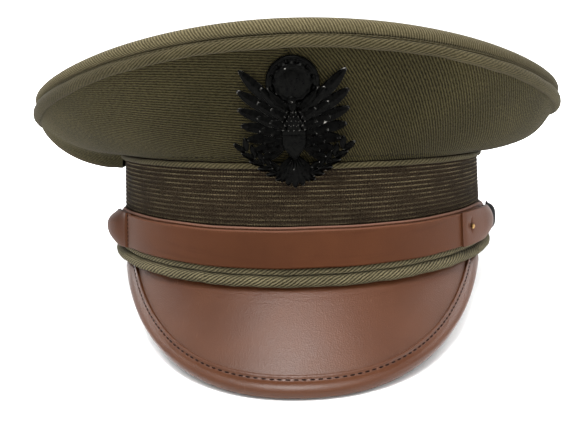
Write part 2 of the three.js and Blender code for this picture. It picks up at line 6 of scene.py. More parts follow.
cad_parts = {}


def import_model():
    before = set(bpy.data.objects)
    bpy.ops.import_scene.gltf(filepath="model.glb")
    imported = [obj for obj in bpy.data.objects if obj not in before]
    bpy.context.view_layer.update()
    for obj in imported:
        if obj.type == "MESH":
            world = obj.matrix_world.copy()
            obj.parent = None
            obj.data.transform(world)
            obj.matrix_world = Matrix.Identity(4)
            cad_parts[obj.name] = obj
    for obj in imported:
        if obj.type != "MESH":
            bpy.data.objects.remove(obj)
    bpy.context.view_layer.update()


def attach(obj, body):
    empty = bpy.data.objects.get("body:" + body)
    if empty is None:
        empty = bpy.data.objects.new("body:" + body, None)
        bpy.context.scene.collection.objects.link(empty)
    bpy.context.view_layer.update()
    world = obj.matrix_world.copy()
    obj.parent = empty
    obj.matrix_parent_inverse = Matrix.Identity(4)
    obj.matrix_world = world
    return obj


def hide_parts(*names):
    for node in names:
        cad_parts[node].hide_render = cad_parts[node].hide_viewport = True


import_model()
scene = bpy.context.scene

# ---------------------------------------------------------------- sizes, mm and degrees
MM = 0.001
BAND_A = 85.6                 # half width of the band at its foot
BAND_B = 105.6                # half length of the band at its foot
BAND_LEAN = 0.035             # how much the band narrows per mm of height
BAND_TOP = 44.8
BAND_WALL = 2.6
FRONT_SAG = 2.6               # the band's foot dips this much at the front
SAG_HIGH = 45                 # the height at which that dip has run out
BAND_SKEW = 0.027             # the soft band stands a little lower on one side
CROWN_A = 124.2
CROWN_B = 124.0
CROWN_X = -1.7
CROWN_Y = 3.0
RIM = (70.9, 13.5, 6.9, 0.3)  # mean height of the rim and its three waves
RIM_TWIST = 0.35              # the rim leans a little more on one side
ROLL_HIGH = 6.4
TOP_DISH = 1.2                # how far the flat of the crown sinks in its middle
CLOTH = 1.3                   # thickness of the crown's cloth walls
SIDE_SEAM = 118.0             # from the middle of the front
REST_TILT = 8.20              # the cap rests on its visor's tip and the band's rear edge
STAND = (1.7, 5.443, 15.022)  # where the tilted cap's own frame stands on the floor
WALE = 1.06                   # from one rib of the cloth to the next
BAND_RADIUS = 95.0            # what lies round the band is measured round this circle

tilt = math.radians(REST_TILT)
COS_TILT, SIN_TILT = math.cos(tilt), math.sin(tilt)


def world(p):
    """A point of the cap's own frame, in mm, as it stands on the floor, in metres."""
    x, y, z = p
    stood = (x, y * COS_TILT + z * SIN_TILT, z * COS_TILT - y * SIN_TILT)
    return Vector([(c + s) * MM for c, s in zip(stood, STAND)])


def mix(a, b, t):
    return a + (b - a) * t


def smooth(t):
    c = min(1.0, max(0.0, t))
    return c * c * (3 - 2 * c)


def look_up(table, x):
    """A smooth walk through rows of (x, value, value ...)."""
    i = 0
    while i < len(table) - 2 and x > table[i + 1][0]:
        i += 1
    t = smooth((x - table[i][0]) / (table[i + 1][0] - table[i][0]))
    return [mix(a, b, t) for a, b in zip(table[i][1:], table[i + 1][1:])]


def curve_through(points, t):
    """A point at t, from 0 to 1, on a smooth line through the given points (Catmull-Rom)."""
    n = len(points) - 1
    i = min(n - 1, int(t * n))
    f = t * n - i
    rows = [points[max(0, i - 1)], points[i], points[i + 1], points[min(n, i + 2)]]
    out = []
    for a, b, c, d in zip(*rows):
        out.append(0.5 * (2 * b + (c - a) * f + (2 * a - 5 * b + 4 * c - d) * f * f
                          + (3 * b - a - 3 * c + d) * f ** 3))
    return out


# ---------------------------------------------------------------- the cap's own surfaces
def oval(a, b, phi, z, x0=0.0, y0=0.0):
    return [x0 + a * math.sin(phi), y0 - b * math.cos(phi), z]


def on_band(phi, z, out):
    front = max(math.cos(phi), 0.0)
    low = z - FRONT_SAG * front * front * (1 - z / SAG_HIGH)
    s = out - BAND_LEAN * z
    return oval(BAND_A + s, BAND_B + s, phi, low - BAND_SKEW * z * math.sin(phi))


def band_normal(phi):
    return Vector((math.sin(phi) / BAND_A, -math.cos(phi) / BAND_B, 0)).normalized()


def rim_height(phi, rho=1.0):
    return (RIM[0] + RIM[1] * rho * math.cos(phi) + RIM[2] * rho ** 2 * math.cos(2 * phi)
            + RIM[3] * rho ** 3 * math.cos(3 * phi) + RIM_TWIST * rho ** 2 * math.sin(2 * phi))


def piping_swell(phi):
    """The piping is fuller at the sides of the crown."""
    return (1.44 if phi < 0 else 0.9) * math.sin(phi) ** 4


def on_crown(phi, inset, z):
    return oval(CROWN_A - inset, CROWN_B - inset, phi, z, CROWN_X, CROWN_Y)


QUARTER_PROFILES = (
    # where round the rim, then the two handles of the profile: out, up, out, up
    (-180, 0.55, 0.00, 0.95, 0.45),
    (-100, 0.60, 0.00, 1.00, 0.66),
    (-70, 0.57, 0.00, 1.02, 0.74),
    (-35, 0.34, 0.22, 0.74, 0.66),
    (0, 0.30, 0.32, 0.58, 0.70),
    (35, 0.34, 0.24, 0.72, 0.68),
    (70, 0.76, 0.00, 0.86, 0.70),
    (100, 0.74, 0.00, 0.86, 0.70),
    (180, 0.55, 0.00, 0.95, 0.45),
)
# the soft belly of one side: where it hangs, half its spread, how far out and how far down
SLUMP = {"middle": -97, "half": 34, "out": 0.7, "drop": 7.2}


def bezier(a, b, c, d, t):
    s = 1 - t
    return s ** 3 * a + 3 * s * s * t * b + 3 * s * t * t * c + t ** 3 * d


def quarter_point(phi, t):
    """A point of a quarter's outer face, from the band (0) to the piping (1)."""
    away = abs(math.degrees(phi) - SLUMP["middle"]) / SLUMP["half"]
    slump = 3 * smooth(1.5 * (1 - away))
    drop = SLUMP["drop"] * min(1.0, max(0.0, slump - 1))
    past = min(1.0, slump) - max(0.0, slump - 2)
    low = on_band(phi, BAND_TOP + 0.45 - drop, 0.4 + SLUMP["out"] * past)
    high = on_crown(phi, 2.6, rim_height(phi) - 4.3 - 2 * piping_swell(phi))
    out1, up1, out2, up2 = look_up(QUARTER_PROFILES, math.degrees(phi))
    out = bezier(0, out1, out2, 1, t)
    lift = bezier(0, up1, up2, 1, t)
    return [mix(low[0], high[0], out), mix(low[1], high[1], out), mix(low[2], high[2], lift)]


# ---------------------------------------------------------------- mesh helpers
def deselect():
    bpy.ops.object.select_all(action="DESELECT")


def pick(obj):
    deselect()
    obj.select_set(True)
    bpy.context.view_layer.objects.active = obj


def edit(obj, *steps):
    """Runs edit-mode steps with everything in the mesh selected."""
    pick(obj)
    bpy.ops.object.mode_set(mode="EDIT")
    bpy.ops.mesh.select_all(action="SELECT")
    for step in steps:
        step()
    bpy.ops.object.mode_set(mode="OBJECT")


def merge():
    bpy.ops.mesh.remove_doubles(threshold=1e-6)


def face_out():
    bpy.ops.mesh.normals_make_consistent(inside=False)


def apply(obj, kind, **values):
    pick(obj)
    modifier = obj.modifiers.new(kind.title(), kind)
    for key, value in values.items():
        setattr(modifier, key, value)
    bpy.ops.object.modifier_apply(modifier=modifier.name)


def shade(obj, angle=40):
    pick(obj)
    bpy.ops.object.shade_smooth_by_angle(angle=math.radians(angle))


def surface(name, place, columns, rows, uv=None, closed=False, thick=0.0):
    """A grid laid over a surface: place(u, v) gives its points, in mm of the cap's own frame,
    and uv(u, v) how far along the cloth each one lies, in mm."""
    deselect()
    bpy.ops.mesh.primitive_grid_add(x_subdivisions=columns, y_subdivisions=rows, size=1,
                                    location=(0.5, 0.5, 0))
    obj = bpy.context.object
    obj.name = obj.data.name = name
    bpy.ops.object.transform_apply(location=True)
    flat = [(v.co.x, v.co.y) for v in obj.data.vertices]
    if uv:
        layer = obj.data.uv_layers.active
        layer.name = "cloth"
        for loop in obj.data.loops:
            layer.data[loop.index].uv = uv(*flat[loop.vertex_index])
    for v, (a, b) in zip(obj.data.vertices, flat):
        v.co = world(place(a, b))
    if closed or thick:
        edit(obj, merge)
    if closed:
        edit(obj, face_out)
    if thick:
        apply(obj, "SOLIDIFY", thickness=thick * MM, offset=-1, use_even_offset=True)
        edit(obj, face_out)
    shade(obj)
    return obj


def fit(obj, material, slot, *nodes):
    obj.data.materials.clear()
    obj.data.materials.append(material)
    for polygon in obj.data.polygons:
        polygon.material_index = 0
    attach(obj, "root")
    if nodes:
        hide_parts(*nodes)
    return obj


def cap_ends(obj):
    """Closes the open ends of a tube."""
    edit(obj, merge)
    edit(obj, lambda: bpy.ops.mesh.select_non_manifold(extend=False),
         lambda: bpy.ops.mesh.edge_face_add())
    edit(obj, face_out)


def way(v):
    """A direction of the cap's own frame as it points in the room."""
    return (world(v) - world((0, 0, 0))).normalized()


def joined(name, parts):
    deselect()
    for part in parts:
        part.select_set(True)
    bpy.context.view_layer.objects.active = parts[0]
    bpy.ops.object.join()
    obj = bpy.context.object
    obj.name = obj.data.name = name
    return obj


def threads(name, spots, long, thick, material):
    """Short stitches: each spot is a middle, a way along and a way up, in the cap's own frame."""
    deselect()
    bpy.ops.mesh.primitive_uv_sphere_add(segments=8, ring_count=5, radius=0.5)
    first = bpy.context.object
    parts = []
    for middle, along, up in spots:
        along, up = way(along), way(up)
        side = along.cross(up).normalized()
        up = side.cross(along)
        copy = first.copy()
        copy.data = first.data.copy()
        scene.collection.objects.link(copy)
        frame_of = Matrix((side * thick, up * thick, along * long)).transposed().to_4x4()
        copy.matrix_world = Matrix.Translation(world(middle)) @ Matrix.Scale(MM, 4) @ frame_of
        parts.append(copy)
    bpy.data.objects.remove(first, do_unlink=True)
    obj = joined(name, parts)
    pick(obj)
    bpy.ops.object.transform_apply(location=True, rotation=True, scale=True)
    edit(obj, face_out)
    shade(obj, 80)
    obj.data.materials.clear()
    obj.data.materials.append(material)
    return obj


def with_threads(obj, *stitched):
    """Joins a piece and its stitching; each keeps its own material."""
    name = obj.name
    for other in stitched:
        for polygon in other.data.polygons:
            polygon.use_smooth = True
    return joined(name, [obj, *stitched])


# ---------------------------------------------------------------- material helpers
def linear(rgb):
    """A colour given in display values, 0 to 255, as the shader's own linear numbers."""
    out = []
    for c in rgb:
        c = c / 255
        out.append(c / 12.92 if c <= 0.04045 else ((c + 0.055) / 1.055) ** 2.4)
    return (*out, 1.0)


class Shader:
    """A material's nodes, added and linked by short calls."""

    def __init__(self, name, roughness, metallic=0.0, sheen=0.0, specular=0.5, coat=0.0):
        self.material = bpy.data.materials.new(name)
        self.material.use_nodes = True
        self.tree = self.material.node_tree
        self.bsdf = next(n for n in self.tree.nodes if n.type == "BSDF_PRINCIPLED")
        self.bsdf.inputs["Roughness"].default_value = roughness
        self.bsdf.inputs["Metallic"].default_value = metallic
        self.bsdf.inputs["Sheen Weight"].default_value = sheen
        self.bsdf.inputs["Sheen Roughness"].default_value = 0.5
        self.bsdf.inputs["Specular IOR Level"].default_value = specular
        self.bsdf.inputs["Coat Weight"].default_value = coat
        self.place = self.node("ShaderNodeTexCoord")

    def node(self, kind, **values):
        n = self.tree.nodes.new(kind)
        for key, value in values.items():
            setattr(n, key, value)
        return n

    def put(self, socket, value):
        if isinstance(value, bpy.types.NodeSocket):
            self.tree.links.new(value, socket)
        else:
            socket.default_value = value

    def coords(self, kind="Object", scale=(1, 1, 1), turn=0.0):
        return self.again(self.place.outputs[kind], scale, turn)

    def again(self, vector, scale=(1, 1, 1), turn=0.0):
        """The given coordinates, scaled and then turned."""
        n = self.node("ShaderNodeMapping")
        self.put(n.inputs["Vector"], vector)
        n.inputs["Scale"].default_value = scale
        n.inputs["Rotation"].default_value = (0, 0, math.radians(turn))
        return n.outputs[0]

    def axis(self, vector, letter):
        n = self.node("ShaderNodeSeparateXYZ")
        self.put(n.inputs[0], vector)
        return n.outputs[letter]

    def noise(self, vector, scale, detail=3.0, roughness=0.55, distortion=0.0):
        n = self.node("ShaderNodeTexNoise")
        self.put(n.inputs["Vector"], vector)
        n.inputs["Scale"].default_value = scale
        n.inputs["Detail"].default_value = detail
        n.inputs["Roughness"].default_value = roughness
        n.inputs["Distortion"].default_value = distortion
        return n.outputs["Fac"]

    def wave(self, vector, pitch, distortion=0.0, detail=2.0, detail_scale=1.0):
        """Ribs across x, one every pitch."""
        n = self.node("ShaderNodeTexWave", wave_type="BANDS", bands_direction="X")
        self.put(n.inputs["Vector"], vector)
        n.inputs["Scale"].default_value = math.pi / 10 / pitch
        n.inputs["Distortion"].default_value = distortion
        n.inputs["Detail"].default_value = detail
        n.inputs["Detail Scale"].default_value = detail_scale
        return n.outputs["Fac"]

    def cells(self, vector, scale, feature="F1", smoothness=0.0):
        n = self.node("ShaderNodeTexVoronoi", feature=feature)
        self.put(n.inputs["Vector"], vector)
        n.inputs["Scale"].default_value = scale
        if feature == "SMOOTH_F1":
            n.inputs["Smoothness"].default_value = smoothness
        return n.outputs["Distance"]

    def math(self, operation, a, b=0.0, c=0.0):
        n = self.node("ShaderNodeMath", operation=operation)
        for socket, value in zip(n.inputs, (a, b, c)):
            self.put(socket, value)
        return n.outputs[0]

    def span(self, value, low, high, out_low=0.0, out_high=1.0):
        n = self.node("ShaderNodeMapRange")
        self.put(n.inputs["Value"], value)
        for key, number in (("From Min", low), ("From Max", high), ("To Min", out_low),
                            ("To Max", out_high)):
            n.inputs[key].default_value = number
        return n.outputs[0]

    def blend(self, share, a, b, kind="MIX"):
        n = self.node("ShaderNodeMix", data_type="RGBA", blend_type=kind)
        self.put(n.inputs[0], share)
        self.put(n.inputs[6], a)
        self.put(n.inputs[7], b)
        return n.outputs[2]

    def attribute(self, name):
        return self.node("ShaderNodeAttribute", attribute_name=name).outputs["Fac"]

    def bump(self, height, depth, strength=1.0, under=None):
        n = self.node("ShaderNodeBump")
        self.put(n.inputs["Height"], height)
        n.inputs["Distance"].default_value = depth * MM
        n.inputs["Strength"].default_value = strength
        if under is not None:
            self.put(n.inputs["Normal"], under)
        return n.outputs[0]

    def finish(self, colour, normal=None, roughness=None):
        self.put(self.bsdf.inputs["Base Color"], colour)
        if normal is not None:
            self.put(self.bsdf.inputs["Normal"], normal)
        if roughness is not None:
            self.put(self.bsdf.inputs["Roughness"], roughness)
        return self.material


# ---------------------------------------------------------------- materials
def twill_height(s, cloth, pitch, fade=0.0, loose=1.5):
    """How high the cloth stands: ribs, the yarns that cross them, and loose fibres."""
    ribs = s.wave(cloth, pitch, distortion=1.5, detail=2.0, detail_scale=1.6)
    strength = s.span(s.noise(s.again(cloth, (0.5, 0.16, 1)), 1.0), 0.3, 0.7, 0.6, 1.1)
    if fade:
        side = s.math("ABSOLUTE", s.axis(s.place.outputs["Object"], "X"))
        worn = s.math("SUBTRACT", 1.0, s.span(side, 0.05, 0.1, 0.0, fade))
        strength = s.math("MULTIPLY", strength, worn)
    ribs = s.math("MULTIPLY_ADD", s.math("SUBTRACT", ribs, 0.5), strength, 0.5)
    yarns = s.wave(s.again(cloth, turn=68), pitch * 0.52, distortion=4.0, detail=3.0, detail_scale=2.4)
    dashes = s.noise(s.again(cloth, (2.6, 0.8, 1)), 1.0, detail=4, roughness=0.7)
    mixed = s.math("MULTIPLY_ADD", yarns, 0.14, ribs)
    return s.math("MULTIPLY_ADD", s.math("SUBTRACT", dashes, 0.5), loose, mixed)


def ribbed_cloth(name, turn, ridge, valley, loose=1.5, fade=0.6, ends=(1.0, 1.0, 1.0), flat_top=False):
    """Wool twill whose ribs run at an angle to the piece's own cloth coordinates. ends is painted light
    and shade: how much lighter or darker the cloth is painted at its left end, in the middle and at its
    right end."""
    s = Shader(name, 0.95, sheen=0.02, specular=0.04)
    height = twill_height(s, s.coords("UV", turn=turn), WALE, fade, loose)
    if flat_top:
        # on the flat of the crown the ribs run straight across
        level = twill_height(s, s.coords("Object", scale=(1000, 1000, 0), turn=-TOP_RIBS), WALE)
        share = s.span(s.axis(s.place.outputs["UV"], "Y"), ROLL_GIRTH - 0.5, ROLL_GIRTH + 1.5)
        height = s.math("MULTIPLY_ADD", s.math("SUBTRACT", level, height), share, height)
    fuzz = s.noise(s.coords("Object"), 2600, detail=2, roughness=0.6)
    patch = s.noise(s.coords("Object"), 42, detail=4)
    colour = s.blend(s.span(height, 0.16, 1.12), valley, ridge)
    # painted light and shade: the cloth is painted lighter or darker toward its left and right ends
    left = s.span(s.axis(s.place.outputs["Object"], "X"), -0.11, -0.02, ends[0], ends[1])
    right = s.span(s.axis(s.place.outputs["Object"], "X"), 0.02, 0.115, 1.0, ends[2] / ends[1])
    blotch = 0.06 if flat_top else 0.16
    grey = s.span(patch, 0.3, 0.7, 1 - blotch, 1 + blotch)
    speck = s.span(fuzz, 0.3, 0.7, 0.86, 1.14)
    # random tone times the painted light and shade of the ends
    tone_and_painted_light = s.math("MULTIPLY", s.math("MULTIPLY", grey, speck), s.math("MULTIPLY", left, right))
    both = s.node("ShaderNodeCombineColor")
    for socket in both.inputs:
        s.put(socket, tone_and_painted_light)
    colour = s.blend(1.0, colour, both.outputs[0], "MULTIPLY")
    normal = s.bump(height, 0.16)
    return s.finish(colour, s.bump(fuzz, 0.05, 0.6, normal))


TOP_RIBS = 28                 # how far the ribs of the crown's top lean from front to back
ROLL_GIRTH = 14.5             # how far it is over the roll, from the groove to the flat
OLIVE_RIDGE, OLIVE_VALLEY = linear((55, 50, 30)), linear((12, 9, 3))
# the roll, the piping and the cords are one light twill, given three times, lighter and darker for the
# light that falls on each: painted light and shade
ROLL_RIDGE, ROLL_VALLEY = linear((88, 81, 60)), linear((44, 39, 24))
PIPING_RIDGE, PIPING_VALLEY = linear((72, 66, 47)), linear((33, 29, 16))
CORD_RIDGE, CORD_VALLEY = linear((98, 91, 69)), linear((30, 26, 15))

# the last three numbers are painted light and shade at the left end, middle and right end: the quarters are
# painted darker in the middle and lighter at their ends, the roll darker at its right end, the piping
# darker at its left end
quarter_left_cloth = ribbed_cloth("olive twill level", 90, OLIVE_RIDGE, OLIVE_VALLEY, 2.4,
                                  0.8, (1.4, 0.84, 1.0))
quarter_right_cloth = ribbed_cloth("olive twill steep", -39, OLIVE_RIDGE, OLIVE_VALLEY, 2.4,
                                   0.35, (1.0, 0.84, 1.3))
roll_cloth = ribbed_cloth("light twill across", 0, ROLL_RIDGE, ROLL_VALLEY, 1.5,
                          0.2, (0.92, 1.06, 0.6), flat_top=True)
piping_cloth = ribbed_cloth("light twill piping", 62, PIPING_RIDGE, PIPING_VALLEY, 1.7, 0.7,
                            (0.7, 1.0, 0.9))
cord_cloth = ribbed_cloth("light twill slanting", 62, CORD_RIDGE, CORD_VALLEY, 1.5, 0.15)


def braid_material():
    """Ribbed braid: the ribs are in the mesh, and the shader adds their beaded threads and paints the rib
    crests pale, as painted highlight.
    """
    s = Shader("ribbed braid", 0.9, specular=0.02)
    flat = s.coords("UV")
    beads = s.wave(flat, 0.74, distortion=3.2, detail=3, detail_scale=2.0)
    one_way = s.wave(s.coords("UV", turn=38), 0.62, distortion=2.4, detail=3, detail_scale=2.4)
    other_way = s.wave(s.coords("UV", turn=-38), 0.62, distortion=2.4, detail=3, detail_scale=2.4)
    weave = s.noise(s.coords("UV", scale=(1.3, 2.6, 1)), 1.0, detail=5, roughness=0.75)
    streak = s.noise(s.coords("UV", scale=(0.05, 0.5, 1)), 1.2, detail=4)
    patch = s.noise(s.coords("UV", scale=(0.09, 0.16, 1)), 1.0, detail=3)
    cross = s.math("MULTIPLY", one_way, other_way)
    speck = s.math("MULTIPLY_ADD", s.math("SUBTRACT", weave, 0.5), 4.4, s.math("MULTIPLY", cross, 0.6))
    dark = s.blend(s.span(streak, 0.35, 0.65), linear((12, 8, 6)), linear((23, 17, 12)))
    ground = s.blend(s.span(speck, 0.05, 0.9), dark, linear((58, 49, 36)))
    # painted highlight: each rib's crest is painted pale, beaded by its threads
    ridge = s.attribute("ridge")
    lit = s.math("MULTIPLY_ADD", s.math("SUBTRACT", weave, 0.5), 2.6, beads)
    line = s.math("MULTIPLY", ridge, s.span(lit, 0.3, 1.1))
    line = s.math("MULTIPLY", line, s.span(patch, 0.38, 0.6, 0.15, 1.0))
    colour = s.blend(line, ground, linear((134, 122, 93)))
    height = s.math("MULTIPLY_ADD", speck, 0.7, beads)
    return s.finish(colour, s.bump(height, 0.12))


def leather(name, colour, deep, roughness, grain=1.0, specular=0.12, edge=None, wrinkled=False):
    """Leather with pores, soft cloudy wear and, on straps, creases painted darker as painted shade
    and a paler top edge: the cut edge's own colour and a painted highlight where it faces up.
    """
    s = Shader(name, roughness, specular=specular)
    colour, deep = linear(colour), linear(deep)
    here = s.coords("Object")
    pores = s.cells(here, 1900, "SMOOTH_F1", 0.6)
    fine = s.noise(here, 2300, detail=3, roughness=0.6)
    soft = s.noise(here, 30, detail=4, roughness=0.6)
    wide = s.noise(here, 9, detail=2)
    creases = s.noise(s.coords("Object", scale=(14, 14, 260)), 1.0, detail=5, roughness=0.7)
    tone = s.blend(s.span(soft, 0.3, 0.72), deep, colour)
    tone = s.blend(s.span(wide, 0.35, 0.7, 0, 0.35), tone, linear((74, 42, 26)))
    tone = s.blend(s.span(fine, 0.3, 0.75, 0, 0.22), tone, deep)
    height = s.math("MULTIPLY_ADD", fine, 0.5, pores)
    normal = s.bump(height, 0.06 * grain)
    normal = s.bump(wide, 0.4, 0.4, normal)
    if edge:
        # painted shade: the creases are painted darker
        tone = s.blend(s.span(creases, 0.56, 0.66, 0, 0.4), tone, deep)
        normal = s.bump(creases, 0.12, 0.5, normal)
        # the top edge is painted paler: the cut edge's own colour, and a painted highlight where it faces
        # up
        across = s.axis(s.coords("UV"), "Y")
        frayed = s.math("MULTIPLY_ADD", s.math("SUBTRACT", fine, 0.5), 2.2, across)
        cut = s.math("MULTIPLY", s.span(frayed, 9.4, 10.4), s.span(frayed, 15.6, 14.8))
        tone = s.blend(cut, tone, linear(edge))
    if wrinkled:
        # creases where the board bends under the cord, and a few light scratches
        far = s.axis(s.place.outputs["UV"], "Y")
        bent = s.noise(s.coords("UV", scale=(0.1, 0.42, 1)), 1.0, detail=3, distortion=1.2)
        normal = s.bump(s.math("MULTIPLY", bent, s.span(far, 13, 2)), 0.4, 0.5, normal)
        hair = s.noise(s.coords("UV", scale=(1.7, 0.09, 1), turn=9), 1.0, detail=3, roughness=0.6)
        places = s.noise(s.coords("UV", scale=(0.05, 0.06, 1)), 1.0, detail=2)
        scratched = s.math("MULTIPLY", s.span(hair, 0.65, 0.69), s.span(places, 0.54, 0.64, 0, 0.3))
        tone = s.blend(scratched, tone, linear((132, 100, 82)))
    rough = s.span(s.math("MULTIPLY_ADD", fine, 0.5, soft), 0.4, 1.1, roughness - 0.07, roughness + 0.1)
    return s.finish(tone, normal, rough)


def metal_material():
    """Blackened metal, bright where its raised edges are worn bare; that brightness also stands in for
    glints, as painted highlight.
    """
    s = Shader("blackened metal", 0.3, metallic=0.95, specular=0.1)
    s.bsdf.inputs["Specular Tint"].default_value = (0.4, 0.4, 0.4, 1.0)
    here = s.coords("Object")
    dust = s.noise(here, 700, detail=4, roughness=0.7)
    worn = s.node("ShaderNodeNewGeometry").outputs["Pointiness"]
    # raised edges painted bright: bare metal worn through, and painted glints
    worn_edge_and_glint = s.span(s.math("MULTIPLY_ADD", dust, 0.1, worn), 0.63, 0.72)
    colour = s.blend(s.span(dust, 0.35, 0.7), linear((5, 5, 5)), linear((12, 12, 11)))
    colour = s.blend(worn_edge_and_glint, colour, linear((124, 122, 117)))
    return s.finish(colour, s.bump(dust, 0.05), s.span(dust, 0.3, 0.7, 0.22, 0.42))


def japanned_material():
    """Black lacquer over metal, for the buttons."""
    s = Shader("black lacquer", 0.6, specular=0.04)
    dust = s.noise(s.coords("Object"), 900, detail=3)
    return s.finish(s.blend(dust, linear((9, 9, 9)), linear((22, 21, 20))), s.bump(dust, 0.03))


def brass_material():
    s = Shader("dull brass", 0.35, metallic=0.9)
    dust = s.noise(s.coords("Object"), 1500, detail=3)
    colour = s.blend(s.span(dust, 0.3, 0.7), linear((150, 120, 74)), linear((96, 72, 42)))
    return s.finish(colour, s.bump(dust, 0.02), s.span(dust, 0.3, 0.7, 0.28, 0.45))


def thread_material(name, colour):
    s = Shader(name, 0.9, specular=0.08)
    twist = s.noise(s.coords("Object"), 2400, detail=2)
    tone = s.blend(s.span(twist, 0.3, 0.7), colour, tuple([0.6 * c for c in colour[:3]]) + (1,))
    return s.finish(tone, s.bump(twist, 0.05))


braid = braid_material()
strap_leather = leather("smooth strap leather", (62, 35, 19), (50, 27, 14), 0.5, 0.6, 0.04)
# the right keeper's leather, given lighter than the strap's
keeper_leather = leather("lighter strap leather", (67, 40, 26), (53, 30, 18), 0.48, 0.7, 0.05)
outer_leather = leather("outer strap leather", (62, 35, 19), (50, 27, 14), 0.5, 0.6, 0.04, (78, 50, 36))
inner_leather = leather("inner strap leather", (60, 34, 21), (48, 26, 15), 0.6, 1.4, 0.05, (92, 66, 54))
visor_leather = leather("satin visor leather", (65, 36, 18), (53, 27, 12), 0.36, 1.0, 0.21, wrinkled=True)
dark_metal = metal_material()
lacquer = japanned_material()
brass = brass_material()
# this thread is painted very dark: its own brown, darkened as painted shade of the stitch holes it lies in
brown_thread_and_shade = thread_material("brown thread and painted shade", linear((30, 17, 13)))
olive_thread = thread_material("olive thread", linear((24, 21, 13)))


# ---------------------------------------------------------------- crown quarters
def quarter_length(phi, steps=24):
    """How long the profile is at phi, in mm."""
    last, total = Vector(quarter_point(phi, 0)), 0.0
    for k in range(1, steps + 1):
        here = Vector(quarter_point(phi, k / steps))
        total += (here - last).length
        last = here
    return total


def quarter_normal(phi, t):
    step = 0.01
    a = Vector(quarter_point(phi + step, t)) - Vector(quarter_point(phi - step, t))
    b = Vector(quarter_point(phi, min(1, t + step))) - Vector(quarter_point(phi, max(0, t - step)))
    n = a.cross(b).normalized()
    return n if n.x * math.sin(phi) - n.y * math.cos(phi) - 0.3 * n.z > 0 else -n


QUARTERS = (
    ("quarter_front_left", -SIDE_SEAM, 0.0, 120, quarter_left_cloth),
    ("quarter_front_right", 0.0, SIDE_SEAM, 120, quarter_right_cloth),
    ("quarter_back_right", SIDE_SEAM, 180.0, 80, quarter_left_cloth),
    ("quarter_back_left", -180.0, -SIDE_SEAM, 80, quarter_right_cloth),
)
MEAN_RADIUS = 112.0           # the quarter cloth is measured round this circle
RIB_FALL = 0.08               # the level ribs fall a little to one side
WELT_STITCH_UP = 2.3          # the stitch line over the band's welt
LENGTH_STEPS = 40             # how many times the cloth's length is measured across a quarter


def quarter(name, start, end, columns, material):
    start, end = math.radians(start), math.radians(end)
    lengths = [quarter_length(mix(start, end, k / LENGTH_STEPS)) for k in range(LENGTH_STEPS + 1)]

    def turn_at(u):
        return mix(start, end, 0.5 - 0.5 * math.cos(math.pi * u))

    def place(u, v):
        phi = turn_at(u)
        p = Vector(quarter_point(phi, v))
        edge = min(abs(phi - start), abs(end - phi)) * MEAN_RADIUS
        sunk = 0.75 * math.exp(-(edge / 0.8) ** 2) - 0.28 * math.exp(-((edge - 2.2) / 1.3) ** 2)
        flow = 0.35 * math.sin(9 * phi + 3.1 * v) * math.sin(math.pi * v) ** 2
        above_welt = v * lengths[LENGTH_STEPS // 2] - WELT_STITCH_UP
        sewn = 0.3 * math.exp(-(above_welt / 0.6) ** 2) if abs(phi) < math.pi / 2 else 0.0
        return p + quarter_normal(phi, v) * (flow - sunk - sewn)

    def uv(u, v):
        # the ribs are laid from the piping down: the cloth is cut level with the crown's edge
        phi = turn_at(u)
        share = (phi - start) / (end - start) * LENGTH_STEPS
        i = min(LENGTH_STEPS - 1, int(share))
        down = (1 - v) * mix(lengths[i], lengths[i + 1], share - i)
        return phi * MEAN_RADIUS, rim_height(phi) - down + RIB_FALL * phi * MEAN_RADIUS

    obj = surface(name, place, columns, 48, uv, thick=CLOTH)
    return fit(obj, material, "olive_cloth", name)


for row in QUARTERS:
    quarter(*row)


# ---------------------------------------------------------------- crown piping, rim roll and top
def round_at(u, v):
    """Where a cord's point lies round the cap, and where round the cord itself."""
    return (2 * u - 1) * math.pi, 2 * math.pi * v - math.pi


def ring_uv(radius, girth):
    return lambda u, v: ((2 * u - 1) * math.pi * radius, v * girth)


def piping_place(u, v):
    phi, t = round_at(u, v)
    swell = piping_swell(phi)
    wobble = 0.12 * math.sin(17 * phi) + 0.08 * math.sin(41 * phi + 1)
    inset = 2.1 - (2.1 + 0.5 * swell) * math.cos(t)
    up = (2.2 + swell) * math.sin(t) - 2.35 - swell
    return on_crown(phi, inset, rim_height(phi) + up + wobble)


piping = surface("crown_piping", piping_place, 360, 20, ring_uv(CROWN_A, 13.8), closed=True)


def tuck_place(u, v):
    """A thin fold of cloth in the groove, that shows more on one side."""
    phi, t = round_at(u, v)
    rise = 0.35 * smooth((math.sin(phi) + 0.1) / 0.6)
    return on_crown(phi, 1.75 - 0.7 * math.cos(t), rim_height(phi) - 0.2 + rise + 0.42 * math.sin(t))


tuck = surface("tuck", tuck_place, 300, 10, ring_uv(CROWN_A, 3.6), closed=True)
piping = joined("crown_piping", [piping, tuck])
fit(piping, piping_cloth, "light_olive_cloth", "crown_piping")

ROLL_PROFILE = (
    # inset from the crown's widest line and height over the groove
    (5.3, -4.4), (5.8, -2.8), (5.9, -1.3), (4.6, -0.5), (3.0, 0.3), (1.9, 0.9), (1.1, 1.7), (0.8, 2.9),
    (1.0, 4.0), (1.8, 5.1), (3.4, 5.95), (5.0, 6.3), (6.6, 6.4),
)


def roll_height(phi, rho=1.0):
    return 1 - 0.14 * rho * math.sin(phi) ** 2


def top_height(phi, rho):
    dish = TOP_DISH * (1 - rho * rho)
    return rim_height(phi, rho) + ROLL_HIGH * roll_height(phi, rho) - 0.3 - dish


ROLL_SHARE = 0.4              # the part of the grid's rows that goes to the roll


